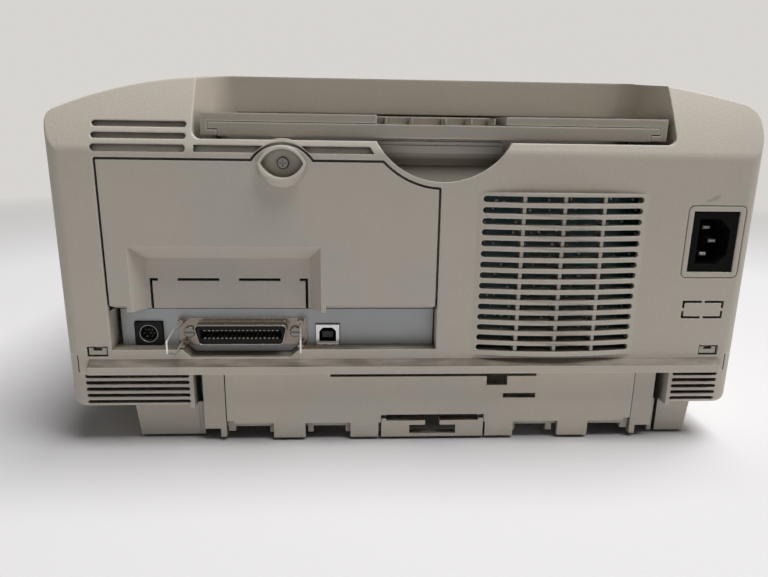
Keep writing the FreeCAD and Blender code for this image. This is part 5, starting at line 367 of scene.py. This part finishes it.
# Paper path and service pieces: ribbed platen, bent sheet guide and the station where the heads park.
# All are moulded in dark grey plastic and stand on the floor of the chassis.
dress(moulded("path_plastic", (0.105, 0.105, 0.11), soil_and_shade=0.2, rough=0.48), "platen", "sheet_guide")
dress(moulded("cap_plastic", (0.19, 0.19, 0.20), soil_and_shade=0.4, rough=0.5), "capping_station")

# Carriage and cartridges: an open box on the rod that holds the black and the colour ink.
# The carriage is dark moulded plastic, and the cartridges are smooth black and grey cases.
dress(moulded("carriage_plastic", (0.21, 0.21, 0.22), soil_and_shade=0.35, rough=0.5), "carriage")
dress(moulded("ink_case_black", (0.035, 0.035, 0.037), grain=2600.0, depth=0.00003, soil_and_shade=0.2, rough=0.36),
      "black_cartridge")
dress(moulded("ink_case_grey", (0.30, 0.31, 0.33), grain=2600.0, depth=0.00003, soil_and_shade=0.3, rough=0.36),
      "colour_cartridge")

# Power supply: a board behind the grille with its transformer and capacitors on the far side.
# Fibreglass board under teal lacquer, ferrite core with a taped winding, aluminium cans in dark sleeves.


def board(name, lacquer, bare):
    """A circuit board: lacquer over tracks that run along X and Z, with clear pads."""
    finish, tree, shader, place = new_finish(name)
    runs = []
    for stretch in ((60.0, 1.0, 420.0), (420.0, 1.0, 60.0)):
        lines = add(tree, "ShaderNodeMapping", {"Vector": place, "Scale": stretch}).outputs["Vector"]
        cells = add(tree, "ShaderNodeTexVoronoi", {"Vector": lines, "Scale": 0.7}, feature="F1")
        picked = add(tree, "ShaderNodeSeparateColor", {0: cells.outputs["Color"]}).outputs[0]
        runs.append(ranged(tree, picked, 0.55, 0.6))
    tracks = reckon(tree, "MAXIMUM", *runs)
    skin = tint(tree, tracks, shaded(lacquer, 0.72), lacquer)
    holes = add(tree, "ShaderNodeTexVoronoi", {"Vector": place, "Scale": 190.0}, feature="F1")
    pads = ranged(tree, holes.outputs["Distance"], 0.2, 0.16)
    pads = times(tree, pads, ranged(tree, speckle(tree, place, 25.0, 1.0), 0.48, 0.52))
    tree.links.new(tint(tree, pads, skin, bare), shader.inputs["Base Color"])
    tree.links.new(ranged(tree, pads, 0.0, 1.0, 0.32, 0.45), shader.inputs["Roughness"])
    lift = add(tree, "ShaderNodeBump", {"Height": tracks, "Strength": 0.5, "Distance": 0.00006})
    tree.links.new(lift.outputs["Normal"], shader.inputs["Normal"])
    return finish


dress(board("power_lacquer", (0.012, 0.070, 0.068), (0.20, 0.19, 0.17)), "power_board")


def node_tree(name, sizes):
    """An empty Geometry Nodes tree with a mesh in and out, named sizes and a finish."""
    tree = bpy.data.node_groups.new(name, "GeometryNodeTree")
    tree.interface.new_socket("Geometry", in_out="INPUT", socket_type="NodeSocketGeometry")
    for size in sizes:
        tree.interface.new_socket(size, in_out="INPUT", socket_type="NodeSocketFloat")
    tree.interface.new_socket("Finish", in_out="INPUT", socket_type="NodeSocketMaterial")
    tree.interface.new_socket("Geometry", in_out="OUTPUT", socket_type="NodeSocketGeometry")
    return tree, tree.nodes.new("NodeGroupInput").outputs


def close_tree(tree, source, instances):
    """Ends a tree: instances made real, given their finish and passed out."""
    real = add(tree, "GeometryNodeRealizeInstances", {"Geometry": instances}).outputs["Geometry"]
    dressed = add(tree, "GeometryNodeSetMaterial", {"Geometry": real, "Material": source["Finish"]})
    add(tree, "NodeGroupOutput", {"Geometry": dressed.outputs["Geometry"]})


def grow(name, corners, faces, tree, sizes, finish, body):
    """A piece grown by a tree on a few points or faces, made a plain mesh and hung on its body."""
    mesh = bpy.data.meshes.new(name)
    mesh.from_pydata(corners, [], faces)
    piece = bpy.data.objects.new(name, mesh)
    bpy.context.scene.collection.objects.link(piece)
    grower = piece.modifiers.new(name, "NODES")
    grower.node_group = tree
    for item in tree.interface.items_tree:
        if item.name in sizes:
            grower[item.identifier] = sizes[item.name]
        if item.name == "Finish":
            grower[item.identifier] = finish
    made = bpy.data.meshes.new_from_object(piece.evaluated_get(bpy.context.evaluated_depsgraph_get()))
    piece.modifiers.remove(grower)
    piece.data = made
    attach(piece, body)
    return piece


joints, source = node_tree("soldered_joints", ("Joint Radius", "Joint Spacing"))
strewn = add(joints, "GeometryNodeDistributePointsOnFaces",
             {"Mesh": source["Geometry"], "Distance Min": source["Joint Spacing"], "Density Max": 60000.0,
              "Seed": 7}, distribute_method="POISSON").outputs["Points"]
dome = add(joints, "GeometryNodeMeshUVSphere", {"Segments": 10, "Rings": 6, "Radius": source["Joint Radius"]})
size = add(joints, "FunctionNodeRandomValue", {"Min": (0.6, 0.5, 0.6), "Max": (1.3, 1.1, 1.3), "Seed": 3},
           data_type="FLOAT_VECTOR").outputs["Value"]
placed = add(joints, "GeometryNodeInstanceOnPoints",
             {"Points": strewn, "Instance": dome.outputs["Mesh"], "Scale": size})
close_tree(joints, source, placed.outputs["Instances"])
board_low, board_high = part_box("power_board")
board_margin = 0.005
field_left, field_right = board_low.x + board_margin, board_high.x - board_margin
field_foot, field_top = board_low.z + board_margin, board_high.z - board_margin
field = [(field_left, board_high.y, field_foot), (field_left, board_high.y, field_top),
         (field_right, board_high.y, field_top), (field_right, board_high.y, field_foot)]
joint_sizes = {"Joint Radius": 0.0009, "Joint Spacing": 0.0036}
solder = steel("solder", (0.42, 0.42, 0.41), 0.3, scale=900.0)
grow("solder_joints", field, [(0, 1, 2, 3)], joints, joint_sizes, solder, "casing")

winding_low, winding_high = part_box("power_transformer")
winding_middle = (winding_low.x + winding_high.x) / 2
winding_half = (winding_high.x - winding_low.x) / 4
tape_edge = 0.0002
winding_finish, tree, shader, place = new_finish("taped_winding")
across = add(tree, "ShaderNodeSeparateXYZ", {0: place}).outputs["X"]
apart = reckon(tree, "ABSOLUTE", reckon(tree, "SUBTRACT", across, winding_middle))
taped = ranged(tree, apart, winding_half + tape_edge, winding_half)
core = tint(tree, speckle(tree, place, 500.0, 3.0), (0.045, 0.045, 0.048), (0.075, 0.073, 0.072))
tape = tint(tree, speckle(tree, place, 90.0, 2.0), (0.62, 0.47, 0.10), (0.72, 0.56, 0.16))
tree.links.new(tint(tree, taped, core, tape), shader.inputs["Base Color"])
tree.links.new(ranged(tree, taped, 0.0, 1.0, 0.7, 0.35), shader.inputs["Roughness"])
roughened(tree, shader, place, 900.0, 0.00008)
dress(winding_finish, "power_transformer")

can_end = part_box("power_capacitors")[0].y
sleeve_from, sleeve_to = 0.0002, 0.0006
can_finish, tree, shader, place = new_finish("capacitor_sleeve")
along = add(tree, "ShaderNodeSeparateXYZ", {0: place}).outputs["Y"]
bare_end = ranged(tree, along, can_end + sleeve_to, can_end + sleeve_from)
sleeve = tint(tree, speckle(tree, place, 60.0, 2.0), (0.018, 0.026, 0.06), (0.026, 0.036, 0.08))
tree.links.new(tint(tree, bare_end, sleeve, (0.72, 0.72, 0.72)), shader.inputs["Base Color"])
tree.links.new(bare_end, shader.inputs["Metallic"])
dulled = ranged(tree, speckle(tree, place, 200.0, 3.0), 0.3, 0.7, 0.28, 0.4)
tree.links.new(dulled, shader.inputs["Roughness"])
dress(can_finish, "power_capacitors")

# Main and control boards: green boards, one behind the interface panel and one behind the buttons.
# The sockets are soldered to the first, the switches to the second.
dress(board("logic_lacquer", (0.035, 0.19, 0.085), (0.66, 0.56, 0.30)), "main_board", "control_board")

# Interface panel: the folded plate behind the sockets, dull plated, with an apron in the shelf's cut.
# The parallel socket is a stamped shell round a black insert, with plated contacts and two wire clips.
dress(steel("panel_plate", (0.33, 0.34, 0.345), 0.5, (0.15, 1.0, 1.0), 500.0, (0.7, 0.66, 0.6), 0.15, 0.1),
      "io_panel")
# The shell's rims carry a strong painted highlight.
dress(steel("nickel_shell", (0.26, 0.225, 0.19), 0.22, scale=300.0, stain=(0.75, 0.66, 0.55), stains=0.3,
            rim_highlight=0.9, rounding=0.0004), "parallel_port_shell")
dress(steel("clip_wire", (0.80, 0.79, 0.77), 0.42, scale=900.0, stains=0.1),
      "port_clip_left", "port_clip_right")
dress(steel("port_screw", (0.24, 0.23, 0.21), 0.3, scale=900.0, rim_highlight=0.7), "port_screws")
dress(moulded("socket_black", (0.014, 0.014, 0.014), grain=2600.0, depth=0.00003, soil_and_shade=0.1, rough=0.5,
              gloss=0.15, rim_highlight=0.2), "parallel_port_insert", "serial_port")
dress(steel("dull_contact", (0.36, 0.33, 0.27), 0.42, scale=900.0, rim_highlight=0.6), "parallel_port_contacts")

# USB socket: a square tin shell round a lining with cut corners, and a black tongue set back in it.
# The front of the lining is bright like the shell, and its inside and the tongue are black.
dress(steel("tin_shell", (0.74, 0.74, 0.73), 0.24, scale=700.0, stains=0.1), "usb_port_shell")
lining_low, lining_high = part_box("usb_port_insert")
lining_face, tongue_reach, tongue_edge = 0.0004, 0.62, 0.02
lining_finish, tree, shader, place = new_finish("usb_lining")
out = widest(tree, within(tree, place, (lining_low + lining_high) / 2, (lining_high - lining_low) / 2))
depth = add(tree, "ShaderNodeSeparateXYZ", {0: place}).outputs["Y"]
bright = times(tree, ranged(tree, out, tongue_reach, tongue_reach + tongue_edge),
               ranged(tree, depth, lining_high.y - lining_face, lining_high.y - lining_face / 2))
black = tint(tree, speckle(tree, place, 900.0), (0.012, 0.012, 0.012), (0.02, 0.02, 0.02))
tree.links.new(tint(tree, bright, black, (0.70, 0.70, 0.69)), shader.inputs["Base Color"])
tree.links.new(ranged(tree, bright, 0.0, 1.0, 0.5, 0.3), shader.inputs["Roughness"])
tree.links.new(bright, shader.inputs["Metallic"])
dress(lining_finish, "usb_port_insert")

# Round serial socket: a thin drawn shield stands in the black mouth, with eight pins in three rows.
# The shield is a tinned tube, and the pins are tapered brass, plated and pressed into the mouth's floor.
mouth_low, mouth_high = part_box("serial_port")
mouth_x, mouth_z = (mouth_low.x + mouth_high.x) / 2, (mouth_low.z + mouth_high.z) / 2
mouth_depth, shield_outer, shield_inner, shield_setback = 0.005, 0.00475, 0.00435, 0.0002
shield_turns = 56
shield_front, mouth_floor = mouth_high.y - shield_setback, mouth_high.y - mouth_depth
shield_section = ((shield_outer, shield_front), (shield_inner, shield_front),
                  (shield_inner, mouth_floor), (shield_outer, mouth_floor))
ring = []
for turn in range(shield_turns):
    angle = 2 * math.pi * turn / shield_turns
    for radius, y in shield_section:
        ring.append((mouth_x + radius * math.cos(angle), y, mouth_z + radius * math.sin(angle)))
sides = len(shield_section)
walls = []
for turn in range(shield_turns):
    here, after = sides * turn, sides * ((turn + 1) % shield_turns)
    walls += [(here + i, here + (i + 1) % sides, after + (i + 1) % sides, after + i) for i in range(sides)]
shield_mesh = bpy.data.meshes.new("serial_shield")
shield_mesh.from_pydata(ring, [], walls)
shield_mesh.materials.append(steel("tinned_shield", (0.30, 0.30, 0.30), 0.32, scale=900.0, rim_highlight=0.5))
shield = bpy.data.objects.new("serial_shield", shield_mesh)
bpy.context.scene.collection.objects.link(shield)
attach(shield, "casing")

pins, source = node_tree("pin_rows", ("Pin Radius", "Tip Radius", "Pin Length"))
points = add(pins, "GeometryNodeMeshToPoints", {"Mesh": source["Geometry"]}).outputs["Points"]
pin = add(pins, "GeometryNodeMeshCone",
          {"Vertices": 12, "Radius Top": source["Tip Radius"], "Radius Bottom": source["Pin Radius"],
           "Depth": source["Pin Length"]})
laid = add(pins, "GeometryNodeInstanceOnPoints",
           {"Points": points, "Instance": pin.outputs["Mesh"], "Rotation": (-math.pi / 2, 0.0, 0.0)})
close_tree(pins, source, laid.outputs["Instances"])
pin_rows = ((0.0019, (-0.0017, 0.0, 0.0017)),
            (0.0, (-0.0027, -0.0008, 0.0027)),
            (-0.0018, (-0.0012, 0.0012)))
pin_places = [(mouth_x + x, mouth_floor, mouth_z + z) for z, row in pin_rows for x in row]
pin_sizes = {"Pin Radius": 0.0004, "Tip Radius": 0.0002, "Pin Length": 0.0038}
grow("serial_pins", pin_places, [], pins, pin_sizes,
     steel("plated_pin", (0.34, 0.31, 0.25), 0.35, scale=900.0), "casing")

# Mains inlet: a black socket snapped into the rear face from inside, with three plated blades.
# It is black phenolic plastic with a dull skin.
dress(moulded("inlet_black", (0.007, 0.007, 0.0067), grain=1900.0, depth=0.00004, soil_and_shade=0.0, rough=0.55,
              gloss=0.06, rim_highlight=0.2), "mains_inlet")
dress(steel("inlet_blade", (0.26, 0.255, 0.24), 0.4, scale=700.0), "inlet_pins")

# Upper casing: the main shell, with the pocket for the paper, the grille and the ledge over the rear door.
# One moulding in warm grey plastic with a fine leather grain, dusty on its ledge, dirty and painted with
# shade in its slots and corners, with painted highlights on its rims, scuffed above the inlet, whose border
# is kept free of dirt and painted shade.
body_colour = (0.605, 0.560, 0.494)
leather_grain, leather_depth, body_rounding = 1100.0, 0.00009, 0.0012
socket_low, socket_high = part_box("mains_inlet")
socket_middle, socket_border = (socket_low + socket_high) / 2, 0.0065
socket_zone = (socket_high - socket_low) / 2 + Vector((socket_border, socket_border, socket_border))
scuff_aside, scuff_above, scuff_tilt, scuff_reach = 0.003, 0.0065, math.radians(24), (0.0052, 0.01, 0.0014)
scuff = (socket_middle.x + scuff_aside, socket_high.y, socket_high.z + scuff_above)
dress(moulded("casing_plastic", body_colour, leather_grain, leather_depth, dust=0.95, soil_and_shade=1.0,
              rounding=body_rounding, pebbled=True, marks_and_shade=[(scuff, scuff_reach, scuff_tilt)],
              clean_unshaded=(socket_middle, socket_zone)), "upper_casing")

# Interface cover: the plate over the boards, with a bevelled recess and a knock-out above the sockets.
# It hooks in at the foot and is held by one screw in a raised eye, whose hollow is painted darker round the
# screw as shade.
screw_low, screw_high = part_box("cover_screw")
screw_middle, dish_above = (screw_low + screw_high) / 2, 0.001
# Painted shade: the eye's hollow round the screw is darkened.
dish_shade, dish_shade_reach = (screw_middle.x, screw_low.y + dish_above, screw_middle.z), (0.017, 0.004, 0.012)
dress(moulded("cover_plastic", (0.59, 0.547, 0.487), grain=1250.0, depth=0.0001, soil_and_shade=0.6,
              marks_and_shade=[(dish_shade, dish_shade_reach, 0.0)]), "interface_cover")
dress(steel("dark_screw", (0.24, 0.23, 0.215), 0.36, scale=900.0), "cover_screw")

# Feed tray: the fold-out paper rest in the pocket, its pull-out extension and the chute below.
# Moulded smoother than the casing. The chute has the casing's colour and is painted darker below its bar as
# shade; the tray and its extension have a darker copy of it as painted shade, with painted highlights on
# their rims.
dress(moulded("tray_plastic", (0.43, 0.395, 0.345), depth=0.00005, soil_and_shade=0.6, rough=0.5, rim_highlight=1.0, shine=1.9,
              rounding=0.0014), "feed_tray", "tray_extension")
# Below its bar the chute is painted darker, as shade.
chute_top, bar_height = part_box("feed_chute")[1].z, 0.0067
dress(moulded("chute_plastic", (0.60, 0.565, 0.51), depth=0.00005, soil_and_shade=0.6, rough=0.55,
              shade_below=(chute_top - bar_height, (0.19, 0.162, 0.124))), "feed_chute")

# Rear access door and latch: the flap under the ledge that opens on the paper's turn.
# Moulded plastic on two pins, with a sliding catch let into its foot, dust in its slots and painted shade in
# its gaps.
dress(moulded("door_plastic", (0.65, 0.605, 0.535), depth=0.00006, soil_and_shade=0.6, gap=0.02, dust=1.0,
              dust_top=0.045), "rear_access_door", "door_latch")

# Paper cassette: the drawer under the body, with a hinged lift plate and two side guides.
# The drawer and guides are moulded plastic, the lift plate is pressed steel.
# Its finish paints shade into its corners and into the gaps towards its neighbours.
dress(moulded("cassette_plastic", (0.59, 0.547, 0.483), depth=0.00006, soil_and_shade=0.5, gap=0.02), "paper_cassette")
dress(steel("lift_sheet", (0.30, 0.305, 0.305), 0.55, (1.0, 0.2, 1.0)), "lift_plate")
dress(moulded("guide_plastic", (0.33, 0.32, 0.30), soil_and_shade=0.4, rough=0.5),
      "paper_guide_left", "paper_guide_right")

# Top cover and output flap: the lid over the mechanism and the drop-down flap in front of it.
# Both are moulded to the form of the casing and hang on pins in its flanges.
dress(moulded("lid_plastic", body_colour, leather_grain, leather_depth, soil_and_shade=0.3, rounding=body_rounding,
              pebbled=True), "top_cover", "output_flap")

# Control panel: a plate with three keys and a lens beside each, set in the front of the shoulder.
# The plate and keys are moulded in two greys, and the lenses are clear green plastic.
dress(moulded("panel_plastic", (0.30, 0.29, 0.275), depth=0.00006, soil_and_shade=0.4), "control_panel")
dress(moulded("key_plastic", (0.46, 0.43, 0.385), grain=2200.0, depth=0.00004, soil_and_shade=0.3, rough=0.45),
      "power_button", "feed_button", "cancel_button")
lens_finish, tree, shader, place = new_finish("lens_green")
cloud = speckle(tree, place, 900.0, 2.0)
tree.links.new(tint(tree, cloud, (0.10, 0.42, 0.12), (0.16, 0.55, 0.18)), shader.inputs["Base Color"])
tree.links.new(ranged(tree, cloud, 0.0, 1.0, 0.12, 0.25), shader.inputs["Roughness"])
shader.inputs["Transmission Weight"].default_value = 0.5
dress(lens_finish, "indicator_lenses")
